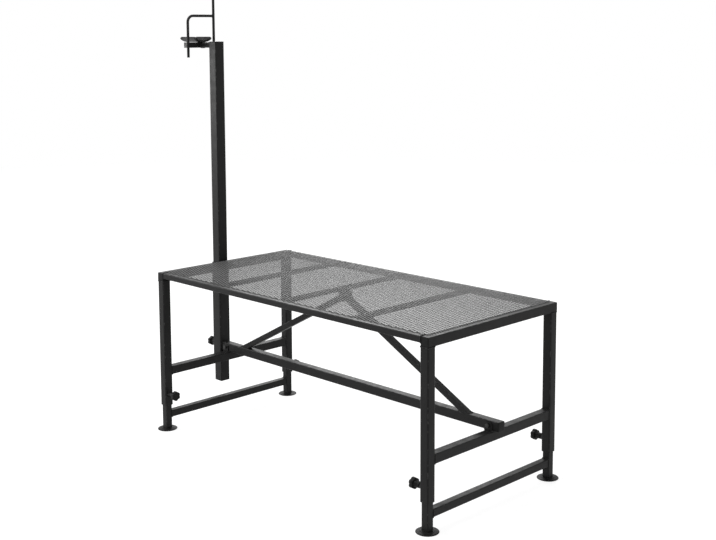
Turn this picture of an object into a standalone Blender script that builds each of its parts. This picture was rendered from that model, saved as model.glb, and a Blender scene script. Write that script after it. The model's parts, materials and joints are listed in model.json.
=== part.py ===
"""Livestock trimming and milking stand with a nose-loop headpiece.

Metres, +Z up, floor at Z = 0. The deck is long in X, with the head end at -X and the tail end
at +X. Lengths below are the real object's. The origin is on the floor, under the middle of the
whole object, so the deck's centre stands a little towards +X.
"""
import math

import bmesh
import bpy
from mathutils import Matrix, Vector

# Clearances
FIT = 0.0003
SLIDE_FIT = 0.001
BOLT_FIT = 0.0004
LOOP_FIT = 0.0008

# Deck
DECK_LENGTH = 1.295
DECK_WIDTH = 0.610
DECK_HEIGHT = 0.576
END_RAIL = 0.030
SIDE_RAIL_WIDTH = 0.030
SIDE_RAIL_HEIGHT = 0.020
CROSS_MEMBER_WIDTH = 0.025
CROSS_MEMBER_HEIGHT = 0.012
CROSS_MEMBER_COUNT = 3
RAIL_WALL = 0.0015
MESH_THICKNESS = 0.003
MESH_EDGE_SETBACK = 0.018
MESH_STRAND = 0.008
MESH_CELLS_LONG = 11
MESH_CELLS_WIDE = 10

# Legs and their rails
LEG_TUBE = 0.032
LEG_WALL = 0.0025
LEG_BOTTOM = 0.090
LEG_CLAMP_RISE = 0.042
INNER_LEG_WALL = 0.0015
INNER_LEG_LENGTH = 0.394
MID_RAIL = 0.030
MID_RAIL_HEIGHT = 0.216
LOW_RAIL = 0.025
LOW_RAIL_HEIGHT = 0.055
FOOT_RADIUS = 0.035
FOOT_THICKNESS = 0.005
FOOT_RIM = 0.003
FOOT_EDGE = 0.0012
FOOT_SEAT_MARGIN = 0.006
FOOT_PLUG_HEIGHT = 0.018
FOOT_PLUG_EDGE = 0.0015

# Stretcher and braces
STRETCHER = 0.030
STRETCHER_OVERHANG = 0.0195
SHEET_STEEL = 0.003
SADDLE_LENGTH = 0.030
SADDLE_HEIGHT = 0.028
BRACE = 0.020
BRACE_PEAK_DROP = 0.020
BRACE_FOOT_SETBACK = 0.1005
BRACE_END_GAP = 0.001
BRACE_BOLT_SETBACK = 0.0155
BRACKET_LENGTH = 0.040
BRACKET_HEIGHT = 0.037

# Post and sleeve
POST = 0.040
POST_WALL = 0.002
POST_BOTTOM = 0.112
POST_TOP = 1.389
SLEEVE_WALL = 0.003
SLEEVE_CLEARANCE = 0.0005
SLEEVE_BOTTOM = 0.205
SLEEVE_TOP_DROP = 0.009
SLEEVE_CLAMP_RISE = 0.047
SLEEVE_STANDOFF = 0.005
SLEEVE_PLATE_WIDTH = 0.040
SLEEVE_PLATE_HEIGHT = 0.018
SLEEVE_PLATE_DROP = 0.002

# Headpiece
HEAD_TUBE = 0.020
HEAD_TUBE_WALL = 0.002
HEAD_ARM_LENGTH = 0.062
CHIN_BAR_LENGTH = 0.144
CRADLE_LENGTH = 0.100
CRADLE_OVERHANG = 0.082
CRADLE_RADIUS = 0.060
CRADLE_HALF_ANGLE = math.radians(44)
PAD_THICKNESS = 0.004
PAD_SETBACK = 0.004
LOOP_ROD_RADIUS = 0.005
LOOP_HALF_WIDTH = 0.060
LOOP_CORNER_RADIUS = 0.024
LOOP_CLEAR_HEIGHT = 0.093
LOOP_SHORT_LEG_BELOW = 0.036
LOOP_LONG_LEG_BELOW = 0.070
LOOP_LONG_LEG_ABOVE = 0.122
LOOP_BEND_STEPS = 6
LOOP_CAP_RADIUS = 0.009
LOOP_CAP_HEIGHT = 0.022
LOOP_CAP_DEPTH = 0.014
LOOP_CAP_EDGE = 0.004

# Plugs, fasteners and clamp knobs
PLUG_FLANGE = 0.003
PLUG_DEPTH = 0.012
PLUG_EDGE = 0.0006
CLAMP_STUD_RADIUS = 0.0045
CLAMP_NUT_WIDTH = 0.017
CLAMP_NUT_HEIGHT = 0.008
CLAMP_KNOB_RADIUS = 0.018
CLAMP_KNOB_HEAD = 0.015
CLAMP_KNOB_REACH = 0.044
THUMB_STUD_RADIUS = 0.003
THUMB_KNOB_RADIUS = 0.011
THUMB_KNOB_HEAD = 0.009
THUMB_KNOB_REACH = 0.024
KNOB_NUT_GAP = 0.002
KNOB_LOBES = 6
KNOB_EDGE_SHARE = 0.18
KNOB_HUB_SHARE = 0.62
KNOB_HUB_TAPER = 0.85
KNOB_FLUTE_SHARE = 0.36
KNOB_FLUTE_OUTSET = 0.62
SADDLE_BOLT_RADIUS = 0.0039
SADDLE_BOLT_HEAD_WIDTH = 0.013
BRACE_BOLT_RADIUS = 0.0030
BRACE_BOLT_HEAD_WIDTH = 0.010
BOLT_END = 0.003
BOLT_HEAD_SHARE = 1.35
NUT_SHARE = 1.6
WELD_DEPTH = 0.0005
PLATE_EDGE = 0.001
ROUND_STEPS = 24
HOLE_STEPS = 16
SMOOTH_ANGLE = math.radians(35)

# Places worked out from the lengths above
INNER_LEG = LEG_TUBE - 2 * (LEG_WALL + SLIDE_FIT)
LEG_X = DECK_LENGTH / 2 - LEG_TUBE / 2
LEG_Y = DECK_WIDTH / 2 - LEG_TUBE / 2
END_RAIL_BOTTOM = DECK_HEIGHT - END_RAIL
CROSS_MEMBER_BOTTOM = DECK_HEIGHT - CROSS_MEMBER_HEIGHT
LEG_CLAMP_HEIGHT = LEG_BOTTOM + LEG_CLAMP_RISE
MID_RAIL_TOP = MID_RAIL_HEIGHT + MID_RAIL / 2
STRETCHER_HEIGHT = MID_RAIL_TOP + FIT + SHEET_STEEL + FIT + STRETCHER / 2
STRETCHER_TOP = STRETCHER_HEIGHT + STRETCHER / 2
BRACE_PEAK_HEIGHT = CROSS_MEMBER_BOTTOM - BRACE_PEAK_DROP
BRACE_REACH = LEG_X - BRACE_FOOT_SETBACK
SLEEVE = POST + 2 * (SLEEVE_CLEARANCE + SLEEVE_WALL)
SLEEVE_TOP = DECK_HEIGHT - SLEEVE_TOP_DROP
SLEEVE_CLAMP_HEIGHT = SLEEVE_BOTTOM + SLEEVE_CLAMP_RISE
SLEEVE_FACE_X = -DECK_LENGTH / 2 - SLEEVE_STANDOFF
POST_X = SLEEVE_FACE_X - SLEEVE / 2
CHIN_BAR_X = POST_X - POST / 2 - HEAD_ARM_LENGTH - HEAD_TUBE / 2
CHIN_BAR_Z = POST_TOP - HEAD_TUBE / 2
CRADLE_FRONT_X = CHIN_BAR_X - CRADLE_OVERHANG
STRETCHER_TAIL_X = DECK_LENGTH / 2 + STRETCHER_OVERHANG
HEAD_END_X = min(CRADLE_FRONT_X, SLEEVE_FACE_X - SLEEVE - CLAMP_KNOB_REACH)
TAIL_END_X = max(STRETCHER_TAIL_X + FIT + PLUG_FLANGE, LEG_X + FOOT_RADIUS)
DECK_CENTRE_X = -(HEAD_END_X + TAIL_END_X) / 2

AXIS_TURN = {
    "+X": (0, math.pi / 2, 0),
    "-X": (0, -math.pi / 2, 0),
    "+Y": (-math.pi / 2, 0, 0),
    "-Y": (math.pi / 2, 0, 0),
    "+Z": (0, 0, 0),
}


# Scene, collections and materials
def clear_scene():
    for old in list(bpy.data.objects):
        bpy.data.objects.remove(old, do_unlink=True)


def make_collection(name):
    collection = bpy.data.collections.new(name)
    bpy.context.scene.collection.children.link(collection)
    return collection


def make_material(name, colour, roughness, metallic):
    material = bpy.data.materials.new(name)
    material.use_nodes = True
    shader = material.node_tree.nodes["Principled BSDF"]
    shader.inputs["Base Color"].default_value = (*colour, 1)
    shader.inputs["Roughness"].default_value = roughness
    shader.inputs["Metallic"].default_value = metallic
    material.diffuse_color = (*colour, 1)
    return material


FINISHES = {
    "powder_coat": ((0.015, 0.0153, 0.016), 0.45, 0.0),
    "mesh_coat": ((0.08, 0.081, 0.083), 0.5, 0.0),
    "black_zinc": ((0.05, 0.05, 0.052), 0.45, 1.0),
    "black_plastic": ((0.015, 0.015, 0.016), 0.45, 0.0),
    "rubber": ((0.02, 0.02, 0.02), 0.8, 0.0),
}


def finish(obj, name, finish_name):
    """Name a sub-part, give it its own material and put it in the stand's collection."""
    obj.name = name
    obj.data.name = name
    obj.data.materials.clear()
    obj.data.materials.append(make_material(name, *FINISHES[finish_name]))
    for collection in obj.users_collection:
        collection.objects.unlink(obj)
    stand.objects.link(obj)
    return obj


def make_empty(name, place):
    empty = bpy.data.objects.new(name, None)
    empty.empty_display_size = 0.05
    empty.location = place
    stand.objects.link(empty)
    return empty


def place(obj, centre, axis="+Z"):
    """Put a piece built about its own origin at a centre, with its local Z along an axis."""
    obj.location = centre
    obj.rotation_euler = AXIS_TURN[axis]
    obj.parent = deck_origin
    return obj


def axis_vector(axis):
    sign = -1 if axis[0] == "-" else 1
    return Vector([sign if letter == axis[1] else 0 for letter in "XYZ"])


def hang(obj, empty):
    """Hang a placed piece on a moving body's empty, which keeps the piece where it is."""
    obj.location = Vector(obj.location) - empty.location
    obj.parent = empty
    return obj


# Outlines and the solids made from them
def rounded_rectangle(width, height, radius, steps=2):
    points = []
    corners = ((1, 1, 0), (-1, 1, 90), (-1, -1, 180), (1, -1, 270))
    for side_x, side_y, start in corners:
        centre_x = side_x * (width / 2 - radius)
        centre_y = side_y * (height / 2 - radius)
        for step in range(steps + 1):
            angle = math.radians(start + 90 * step / steps)
            points.append((centre_x + radius * math.cos(angle),
                           centre_y + radius * math.sin(angle)))
    return points


def circle_points(radius, steps):
    angles = [2 * math.pi * step / steps for step in range(steps)]
    return [(radius * math.cos(angle), radius * math.sin(angle)) for angle in angles]


def smooth(obj):
    obj.data.shade_smooth()
    obj.data.set_sharp_from_angle(angle=SMOOTH_ANGLE)
    return obj


def mesh_of(obj):
    """Turn an evaluated object into a plain mesh object with its caps welded on."""
    graph = bpy.context.evaluated_depsgraph_get()
    mesh = bpy.data.meshes.new_from_object(obj.evaluated_get(graph))
    solid = bpy.data.objects.new(obj.name, mesh)
    solid.matrix_world = obj.matrix_world
    bpy.context.scene.collection.objects.link(solid)
    bpy.data.objects.remove(obj, do_unlink=True)
    work = bmesh.new()
    work.from_mesh(mesh)
    bmesh.ops.remove_doubles(work, verts=work.verts, dist=0.00001)
    bmesh.ops.recalc_face_normals(work, faces=work.faces)
    work.to_mesh(mesh)
    work.free()
    return solid


def extruded(loops, length):
    """Extrude flat closed outlines, the first one the outside, along local Z."""
    curve = bpy.data.curves.new("outline", "CURVE")
    curve.dimensions = "2D"
    curve.fill_mode = "BOTH"
    curve.extrude = length / 2
    for loop in loops:
        spline = curve.splines.new("POLY")
        spline.points.add(len(loop) - 1)
        for point, (x, y) in zip(spline.points, loop):
            point.co = (x, y, 0, 1)
        spline.use_cyclic_u = True
    obj = bpy.data.objects.new("outline", curve)
    bpy.context.scene.collection.objects.link(obj)
    return mesh_of(obj)


def square_tube(width, height, wall, length):
    """A rounded rectangular tube, open at both ends, along local Z."""
    outside = rounded_rectangle(width, height, 2 * wall)
    bore = rounded_rectangle(width - 2 * wall, height - 2 * wall, wall, 1)
    return extruded([outside, bore], length)


def box(size, bevel=0.0):
    bpy.ops.mesh.primitive_cube_add(size=1)
    obj = bpy.context.object
    obj.data.transform(Matrix.Diagonal((*size, 1)))
    if bevel:
        modifier = obj.modifiers.new("edges", "BEVEL")
        modifier.width = bevel
        modifier.segments = 1
    return obj


def prism(sides, radius, height):
    """A regular prism on local Z, from Z = 0 up."""
    bpy.ops.mesh.primitive_cylinder_add(vertices=sides, radius=radius, depth=height)
    obj = bpy.context.object
    for vertex in obj.data.vertices:
        vertex.co.z += height / 2
    return obj


def turned(profile, steps=ROUND_STEPS):
    """Turn a profile of (radius, height) points, top to bottom on its outer side, about Z."""
    mesh = bpy.data.meshes.new("profile")
    edges = [(index, index + 1) for index in range(len(profile) - 1)]
    mesh.from_pydata([(radius, 0, height) for radius, height in profile], edges, [])
    obj = bpy.data.objects.new("profile", mesh)
    bpy.context.scene.collection.objects.link(obj)
    screw = obj.modifiers.new("turn", "SCREW")
    screw.steps = steps
    screw.render_steps = steps
    screw.use_merge_vertices = True
    screw.merge_threshold = 0.00001
    return smooth(mesh_of(obj))


def rod(points, radius, resolution=3):
    """A round bar of one radius through the points of a polyline."""
    curve = bpy.data.curves.new("rod", "CURVE")
    curve.dimensions = "3D"
    curve.bevel_depth = radius
    curve.bevel_resolution = resolution
    curve.use_fill_caps = True
    spline = curve.splines.new("POLY")
    spline.points.add(len(points) - 1)
    for point, co in zip(spline.points, points):
        point.co = (*co, 1)
    obj = bpy.data.objects.new("rod", curve)
    bpy.context.scene.collection.objects.link(obj)
    return mesh_of(obj)


def boolean(obj, other, operation):
    """Cut or join at the two objects' present places, and keep the other as a wire guide."""
    for collection in other.users_collection:
        collection.objects.unlink(other)
    cutters.objects.link(other)
    other.hide_render = True
    other.display_type = "WIRE"
    modifier = obj.modifiers.new(operation.lower(), "BOOLEAN")
    modifier.operation = operation
    modifier.solver = "EXACT"
    modifier.object = other
    return obj


def drill(obj, radius, length, centre, axis):
    """Drill a round hole of a stated length about a centre, from the deck's own origin."""
    cutter = prism(HOLE_STEPS, radius, length)
    for vertex in cutter.data.vertices:
        vertex.co.z -= length / 2
    cutter.name = "hole"
    place(cutter, centre, axis)
    return boolean(obj, cutter, "DIFFERENCE")


# Pieces that repeat
def tube_plug(tube, wall, centre, axis):
    """A plastic plug: a flange over the tube's end, and a body inside its bore."""
    bore = tube - 2 * wall
    plug = mesh_of(box((tube, tube, PLUG_FLANGE), PLUG_EDGE))
    depth = PLUG_DEPTH + PLUG_FLANGE / 2
    body = mesh_of(box((bore - 2 * FIT, bore - 2 * FIT, depth), wall))
    for vertex in body.data.vertices:
        vertex.co.z -= depth / 2
    boolean(plug, body, "UNION")
    plug = mesh_of(plug)
    outward = Vector(centre) + axis_vector(axis) * (FIT + PLUG_FLANGE / 2)
    return place(plug, outward, axis)


def knob_profile(head_radius, head_height, reach, hub_base, stud_radius, tip_depth):
    """The knob's outline: domed head, tapered hub and moulded-in stud, top to bottom."""
    neck = reach - head_height
    edge = head_height * KNOB_EDGE_SHARE
    hub_radius = head_radius * KNOB_HUB_SHARE
    return [
        (0, reach),
        (head_radius - 2 * edge, reach),
        (head_radius - 0.5 * edge, reach - 0.5 * edge),
        (head_radius, reach - 1.5 * edge),
        (head_radius, neck + edge),
        (head_radius - edge, neck),
        (hub_radius, neck),
        (hub_radius * KNOB_HUB_TAPER, hub_base),
        (stud_radius, hub_base),
        (stud_radius, -tip_depth),
        (0, -tip_depth),
    ]


def clamp_knob_mesh(head_radius, head_height, reach, hub_base, stud_radius, tip_depth):
    """A lobed hand knob: a turned body with flutes cut round its rim."""
    knob = turned(knob_profile(head_radius, head_height, reach, hub_base, stud_radius,
                               tip_depth))
    flute_radius = head_radius * KNOB_FLUTE_SHARE
    flute_circle = head_radius + flute_radius * KNOB_FLUTE_OUTSET
    for index in range(KNOB_LOBES):
        angle = 2 * math.pi * index / KNOB_LOBES
        cutter = prism(12, flute_radius, 2 * head_height)
        cutter.location = (flute_circle * math.cos(angle), flute_circle * math.sin(angle),
                           reach - 1.5 * head_height)
        cutter.name = "flute"
        boolean(knob, cutter, "DIFFERENCE")
    return smooth(mesh_of(knob))


def clamp(name, origin, axis, sizes):
    """A knob with its stud on a turning body, with local Z out from the clamped tube's face."""
    pivot = make_empty(name + "_axis", Vector(origin))
    pivot.parent = deck_origin
    pivot.rotation_euler = AXIS_TURN[axis]
    knob = finish(clamp_knob_mesh(*sizes), name, "black_plastic")
    knob.parent = pivot


def hex_nut(width, height, hole_radius, centre, axis):
    """A hexagon nut whose seat is at the centre and whose height runs along the axis."""
    corner_radius = width / math.sqrt(3)
    nut = extruded([circle_points(corner_radius, 6), circle_points(hole_radius, HOLE_STEPS)],
                   height)
    seat = Vector(centre) + axis_vector(axis) * (FIT + height / 2)
    return place(nut, seat, axis)


def weld_nut(tube, width, height, hole_radius, centre, axis):
    """A hexagon nut welded on a tube's face, with one hole through nut and wall."""
    nut = prism(6, width / math.sqrt(3), height + WELD_DEPTH)
    outward = axis_vector(axis)
    nut.name = "nut"
    place(nut, Vector(centre) - outward * WELD_DEPTH, axis)
    boolean(tube, nut, "UNION")
    drill(tube, hole_radius, 2 * (height + LEG_WALL), centre, axis)


def hex_bolt(head_width, radius, grip, centre, axis):
    """A hexagon bolt: its head on one side of the grip, its shank out past the other."""
    head_height = radius * BOLT_HEAD_SHARE
    nut_height = radius * NUT_SHARE
    bolt = prism(6, head_width / math.sqrt(3), head_height)
    shank = prism(HOLE_STEPS, radius, grip + nut_height + BOLT_END + 2 * FIT + head_height / 2)
    for vertex in shank.data.vertices:
        vertex.co.z = head_height / 2 - vertex.co.z
    boolean(bolt, shank, "UNION")
    bolt = mesh_of(bolt)
    seat = Vector(centre) + axis_vector(axis) * (grip / 2 + FIT)
    return place(bolt, seat, axis)


def bolt_and_nut(name, end, head_width, radius, grip, centre):
    """A bolt along Y through a bracket, with its head on the near side and its nut behind."""
    bolt = hex_bolt(head_width, radius, grip, centre, "-Y")
    finish(bolt, name + "_bolt_" + end, "black_zinc")
    seat = Vector(centre) + axis_vector("+Y") * grip / 2
    nut = hex_nut(head_width, radius * NUT_SHARE, radius + FIT, seat, "+Y")
    finish(nut, name + "_nut_" + end, "black_zinc")


# Deck
def tube_between(name, section, wall, start, end, along, finish_name="powder_coat"):
    """A straight tube along X, Y or Z; section is its size along the other two axes in order."""
    length = abs(end["XYZ".index(along)] - start["XYZ".index(along)])
    centre = (Vector(start) + Vector(end)) / 2
    first, second = section
    if along == "X":
        first, second = second, first
    tube = square_tube(first, second, wall, length)
    place(tube, centre, "+" + along)
    return finish(tube, name, finish_name)


def make_deck_frame():
    half_length = DECK_LENGTH / 2
    half_width = DECK_WIDTH / 2
    end_rail_z = DECK_HEIGHT - END_RAIL / 2
    side_rail_z = DECK_HEIGHT - SIDE_RAIL_HEIGHT / 2
    side_rail_y = half_width - SIDE_RAIL_WIDTH / 2
    side_rail_reach = half_length - END_RAIL - FIT
    for end, sign in (("head", -1), ("tail", 1)):
        x = sign * (half_length - END_RAIL / 2)
        reach = half_width - PLUG_FLANGE - FIT
        tube_between("deck_end_rail_" + end, (END_RAIL, END_RAIL), RAIL_WALL,
                     (x, -reach, end_rail_z), (x, reach, end_rail_z), "Y")
        for side, axis in (("near", "-Y"), ("far", "+Y")):
            seat = Vector((x, 0, end_rail_z)) + axis_vector(axis) * reach
            plug = tube_plug(END_RAIL, RAIL_WALL, seat, axis)
            finish(plug, "deck_plug_" + end + "_" + side, "black_plastic")
    for side, sign in (("near", -1), ("far", 1)):
        y = sign * side_rail_y
        tube_between("deck_side_rail_" + side, (SIDE_RAIL_WIDTH, SIDE_RAIL_HEIGHT), RAIL_WALL,
                     (-side_rail_reach, y, side_rail_z), (side_rail_reach, y, side_rail_z), "X")
    member_reach = half_width - SIDE_RAIL_WIDTH - FIT
    member_z = DECK_HEIGHT - CROSS_MEMBER_HEIGHT / 2
    for index in range(CROSS_MEMBER_COUNT):
        x = DECK_LENGTH * ((index + 1) / (CROSS_MEMBER_COUNT + 1) - 0.5)
        tube_between("deck_cross_member_%d" % (index + 1),
                     (CROSS_MEMBER_WIDTH, CROSS_MEMBER_HEIGHT), RAIL_WALL,
                     (x, -member_reach, member_z), (x, member_reach, member_z), "Y")


def make_deck_mesh():
    """A net of diamond gaps: a grid turned into diamonds, each inset and opened, made thick."""
    length = DECK_LENGTH - 2 * MESH_EDGE_SETBACK
    width = DECK_WIDTH - 2 * MESH_EDGE_SETBACK
    work = bmesh.new()
    bmesh.ops.create_grid(work, x_segments=MESH_CELLS_LONG, y_segments=MESH_CELLS_WIDE,
                          size=0.5, matrix=Matrix.Diagonal((length, width, 1, 1)))
    grid_edges = [edge for edge in work.edges if not edge.is_boundary]
    bmesh.ops.poke(work, faces=work.faces[:])
    bmesh.ops.dissolve_edges(work, edges=grid_edges)
    rings = bmesh.ops.inset_individual(work, faces=work.faces[:], thickness=MESH_STRAND / 2)
    ring_faces = set(rings["faces"])
    centres = [face for face in work.faces if face not in ring_faces]
    bmesh.ops.delete(work, geom=centres, context="FACES")
    mesh = bpy.data.meshes.new("net")
    work.to_mesh(mesh)
    work.free()
    net = bpy.data.objects.new("net", mesh)
    bpy.context.scene.collection.objects.link(net)
    thick = net.modifiers.new("thick", "SOLIDIFY")
    thick.thickness = MESH_THICKNESS
    thick.offset = 0
    place(net, (0, 0, DECK_HEIGHT + FIT + MESH_THICKNESS / 2))
    finish(net, "deck_mesh", "mesh_coat")


# Legs
def make_leg_pair(end, sign):
    """The fixed upper half of one end: two outer tubes and the cross rail between them."""
    x = sign * LEG_X
    inner_axis = "-X" if sign > 0 else "+X"
    face_x = x + axis_vector(inner_axis).x * LEG_TUBE / 2
    hole = CLAMP_STUD_RADIUS + BOLT_FIT
    for side, side_sign in (("near", -1), ("far", 1)):
        y = side_sign * LEG_Y
        leg = tube_between("outer_leg_" + end + "_" + side, (LEG_TUBE, LEG_TUBE), LEG_WALL,
                           (x, y, LEG_BOTTOM), (x, y, END_RAIL_BOTTOM - FIT), "Z")
        weld_nut(leg, CLAMP_NUT_WIDTH, CLAMP_NUT_HEIGHT, hole,
                 (face_x, y, LEG_CLAMP_HEIGHT), inner_axis)
    reach = LEG_Y - LEG_TUBE / 2 - FIT
    tube_between("mid_rail_" + end, (MID_RAIL, MID_RAIL), RAIL_WALL,
                 (x, -reach, MID_RAIL_HEIGHT), (x, reach, MID_RAIL_HEIGHT), "Y")


def make_foot():
    """A flanged moulded foot with a round plug that goes up inside the leg."""
    plug_radius = (INNER_LEG - 2 * INNER_LEG_WALL) / 2 - FIT
    plug_top = FOOT_THICKNESS + FOOT_PLUG_HEIGHT
    seat_radius = INNER_LEG / math.sqrt(2) + FOOT_SEAT_MARGIN - FOOT_EDGE
    profile = [
        (0, plug_top),
        (plug_radius - FOOT_PLUG_EDGE, plug_top),
        (plug_radius, plug_top - FOOT_PLUG_EDGE),
        (plug_radius, FOOT_THICKNESS),
        (seat_radius, FOOT_THICKNESS),
        (FOOT_RADIUS - FOOT_EDGE, FOOT_RIM),
        (FOOT_RADIUS, FOOT_RIM - FOOT_EDGE),
        (FOOT_RADIUS, FOOT_EDGE),
        (FOOT_RADIUS - FOOT_EDGE, 0),
        (0, 0),
    ]
    return turned(profile, ROUND_STEPS)


def make_lower_frame(end, sign):
    """The sliding lower half of one end: two inner legs, the low rail and two feet."""
    x = sign * LEG_X
    body = make_empty("lower_frame_" + end + "_slide", Vector((x, 0, LEG_BOTTOM)))
    body.parent = deck_origin
    bottom = FOOT_THICKNESS + FIT
    for side, side_sign in (("near", -1), ("far", 1)):
        y = side_sign * LEG_Y
        leg = tube_between("inner_leg_" + end + "_" + side, (INNER_LEG, INNER_LEG),
                           INNER_LEG_WALL, (x, y, bottom), (x, y, bottom + INNER_LEG_LENGTH), "Z")
        hang(leg, body)
        foot = place(make_foot(), (x, y, 0))
        hang(finish(foot, "foot_" + end + "_" + side, "black_plastic"), body)
    reach = LEG_Y - INNER_LEG / 2 - FIT
    rail = tube_between("low_rail_" + end, (LOW_RAIL, LOW_RAIL), RAIL_WALL,
                        (x, -reach, LOW_RAIL_HEIGHT), (x, reach, LOW_RAIL_HEIGHT), "Y")
    hang(rail, body)


def make_leg_clamps(end, sign):
    inner_axis = "-X" if sign > 0 else "+X"
    face_x = sign * LEG_X + axis_vector(inner_axis).x * LEG_TUBE / 2
    sizes = (CLAMP_KNOB_RADIUS, CLAMP_KNOB_HEAD, CLAMP_KNOB_REACH,
             CLAMP_NUT_HEIGHT + KNOB_NUT_GAP, CLAMP_STUD_RADIUS, LEG_WALL + SLIDE_FIT - FIT)
    for side, side_sign in (("near", -1), ("far", 1)):
        clamp("leg_knob_" + end + "_" + side, (face_x, side_sign * LEG_Y, LEG_CLAMP_HEIGHT),
              inner_axis, sizes)


# Stretcher and braces
def channel(inner_width, height, length):
    """A bent sheet channel along local Z, its open side towards local +Y."""
    outer = inner_width / 2 + SHEET_STEEL
    inner = inner_width / 2
    loop = [(-outer, 0), (outer, 0), (outer, height), (inner, height),
            (inner, SHEET_STEEL), (-inner, SHEET_STEEL), (-inner, height), (-outer, height)]
    return extruded([loop], length)


def make_stretcher():
    start_x = SLEEVE_FACE_X + FIT
    stretcher = tube_between("stretcher", (STRETCHER, STRETCHER), RAIL_WALL,
                             (start_x, 0, STRETCHER_HEIGHT),
                             (STRETCHER_TAIL_X, 0, STRETCHER_HEIGHT), "X")
    grip = STRETCHER + 2 * (FIT + SHEET_STEEL)
    hole = SADDLE_BOLT_RADIUS + BOLT_FIT
    for end, sign in (("head", -1), ("tail", 1)):
        centre = (sign * LEG_X, 0, STRETCHER_HEIGHT)
        saddle = channel(STRETCHER + 2 * FIT, SADDLE_HEIGHT, SADDLE_LENGTH)
        saddle.location = (centre[0], 0, MID_RAIL_TOP + FIT)
        saddle.rotation_euler = (math.pi / 2, 0, math.pi / 2)
        saddle.parent = deck_origin
        drill(saddle, hole, 2 * grip, centre, "+Y")
        finish(saddle, "stretcher_saddle_" + end, "powder_coat")
        drill(stretcher, hole, 2 * grip, centre, "+Y")
        bolt_and_nut("stretcher", end, SADDLE_BOLT_HEAD_WIDTH, SADDLE_BOLT_RADIUS, grip, centre)
    plug = tube_plug(STRETCHER, RAIL_WALL, (STRETCHER_TAIL_X, 0, STRETCHER_HEIGHT), "+X")
    finish(plug, "stretcher_plug", "black_plastic")


def make_braces():
    """Two sloping tubes, cut level on the stretcher, that meet in a channel under the deck."""
    drop = BRACE_PEAK_HEIGHT - STRETCHER_TOP
    slope = math.atan2(drop, BRACE_REACH)
    end_setback = BRACE / 2 * math.tan(slope) + BRACE_END_GAP
    end_length = math.hypot(drop, BRACE_REACH) + BRACE
    length = end_length - end_setback
    middle = (end_length + end_setback) / 2
    bracket_top = CROSS_MEMBER_BOTTOM - FIT
    inner_width = BRACE + 2 * FIT
    grip = inner_width + 2 * SHEET_STEEL
    hole = BRACE_BOLT_RADIUS + BOLT_FIT
    bracket = channel(inner_width, BRACKET_HEIGHT, BRACKET_LENGTH)
    bracket.location = (0, 0, bracket_top)
    bracket.rotation_euler = (-math.pi / 2, 0, math.pi / 2)
    bracket.parent = deck_origin
    for end, sign in (("head", -1), ("tail", 1)):
        brace = square_tube(BRACE, BRACE, RAIL_WALL, length)
        brace.location = (sign * middle * math.cos(slope), 0,
                          BRACE_PEAK_HEIGHT - middle * math.sin(slope))
        brace.rotation_euler = (0, math.pi / 2 + sign * slope, 0)
        brace.parent = deck_origin
        below = box((4 * BRACE, 2 * BRACE, 2 * BRACE))
        place(below, (sign * BRACE_REACH, 0, STRETCHER_TOP + FIT - BRACE))
        boolean(brace, below, "DIFFERENCE")
        centre = (sign * BRACE_BOLT_SETBACK * math.cos(slope), 0,
                  BRACE_PEAK_HEIGHT - BRACE_BOLT_SETBACK * math.sin(slope))
        drill(brace, hole, 2 * grip, centre, "+Y")
        drill(bracket, hole, 2 * grip, centre, "+Y")
        finish(brace, "brace_" + end, "powder_coat")
        bolt_and_nut("brace", end, BRACE_BOLT_HEAD_WIDTH, BRACE_BOLT_RADIUS, grip, centre)
    finish(bracket, "brace_bracket", "powder_coat")


# Post, sleeve and headpiece
def make_sleeve():
    hole = CLAMP_STUD_RADIUS + BOLT_FIT
    sleeve = tube_between("post_sleeve", (SLEEVE, SLEEVE), SLEEVE_WALL,
                          (POST_X, 0, SLEEVE_BOTTOM), (POST_X, 0, SLEEVE_TOP), "Z")
    face_x = POST_X - SLEEVE / 2
    weld_nut(sleeve, CLAMP_NUT_WIDTH, CLAMP_NUT_HEIGHT, hole,
             (face_x, 0, SLEEVE_CLAMP_HEIGHT), "-X")
    plate = box((SLEEVE_STANDOFF - 2 * FIT, SLEEVE_PLATE_WIDTH, SLEEVE_PLATE_HEIGHT), PLATE_EDGE)
    place(plate, (SLEEVE_FACE_X + SLEEVE_STANDOFF / 2, 0,
                  SLEEVE_TOP - SLEEVE_PLATE_DROP - SLEEVE_PLATE_HEIGHT / 2))
    finish(plate, "sleeve_plate", "powder_coat")
    sizes = (CLAMP_KNOB_RADIUS, CLAMP_KNOB_HEAD, CLAMP_KNOB_REACH,
             CLAMP_NUT_HEIGHT + KNOB_NUT_GAP, CLAMP_STUD_RADIUS,
             SLEEVE_WALL + SLEEVE_CLEARANCE - FIT)
    clamp("post_knob", (face_x, 0, SLEEVE_CLAMP_HEIGHT), "-X", sizes)


def make_post():
    body = make_empty("post_slide", Vector((POST_X, 0, SLEEVE_TOP)))
    body.parent = deck_origin
    post = tube_between("head_post", (POST, POST), POST_WALL,
                        (POST_X, 0, POST_BOTTOM), (POST_X, 0, POST_TOP), "Z")
    hang(post, body)
    plug = tube_plug(POST, POST_WALL, (POST_X, 0, POST_TOP), "+Z")
    hang(finish(plug, "post_plug", "black_plastic"), body)
    return body


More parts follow.
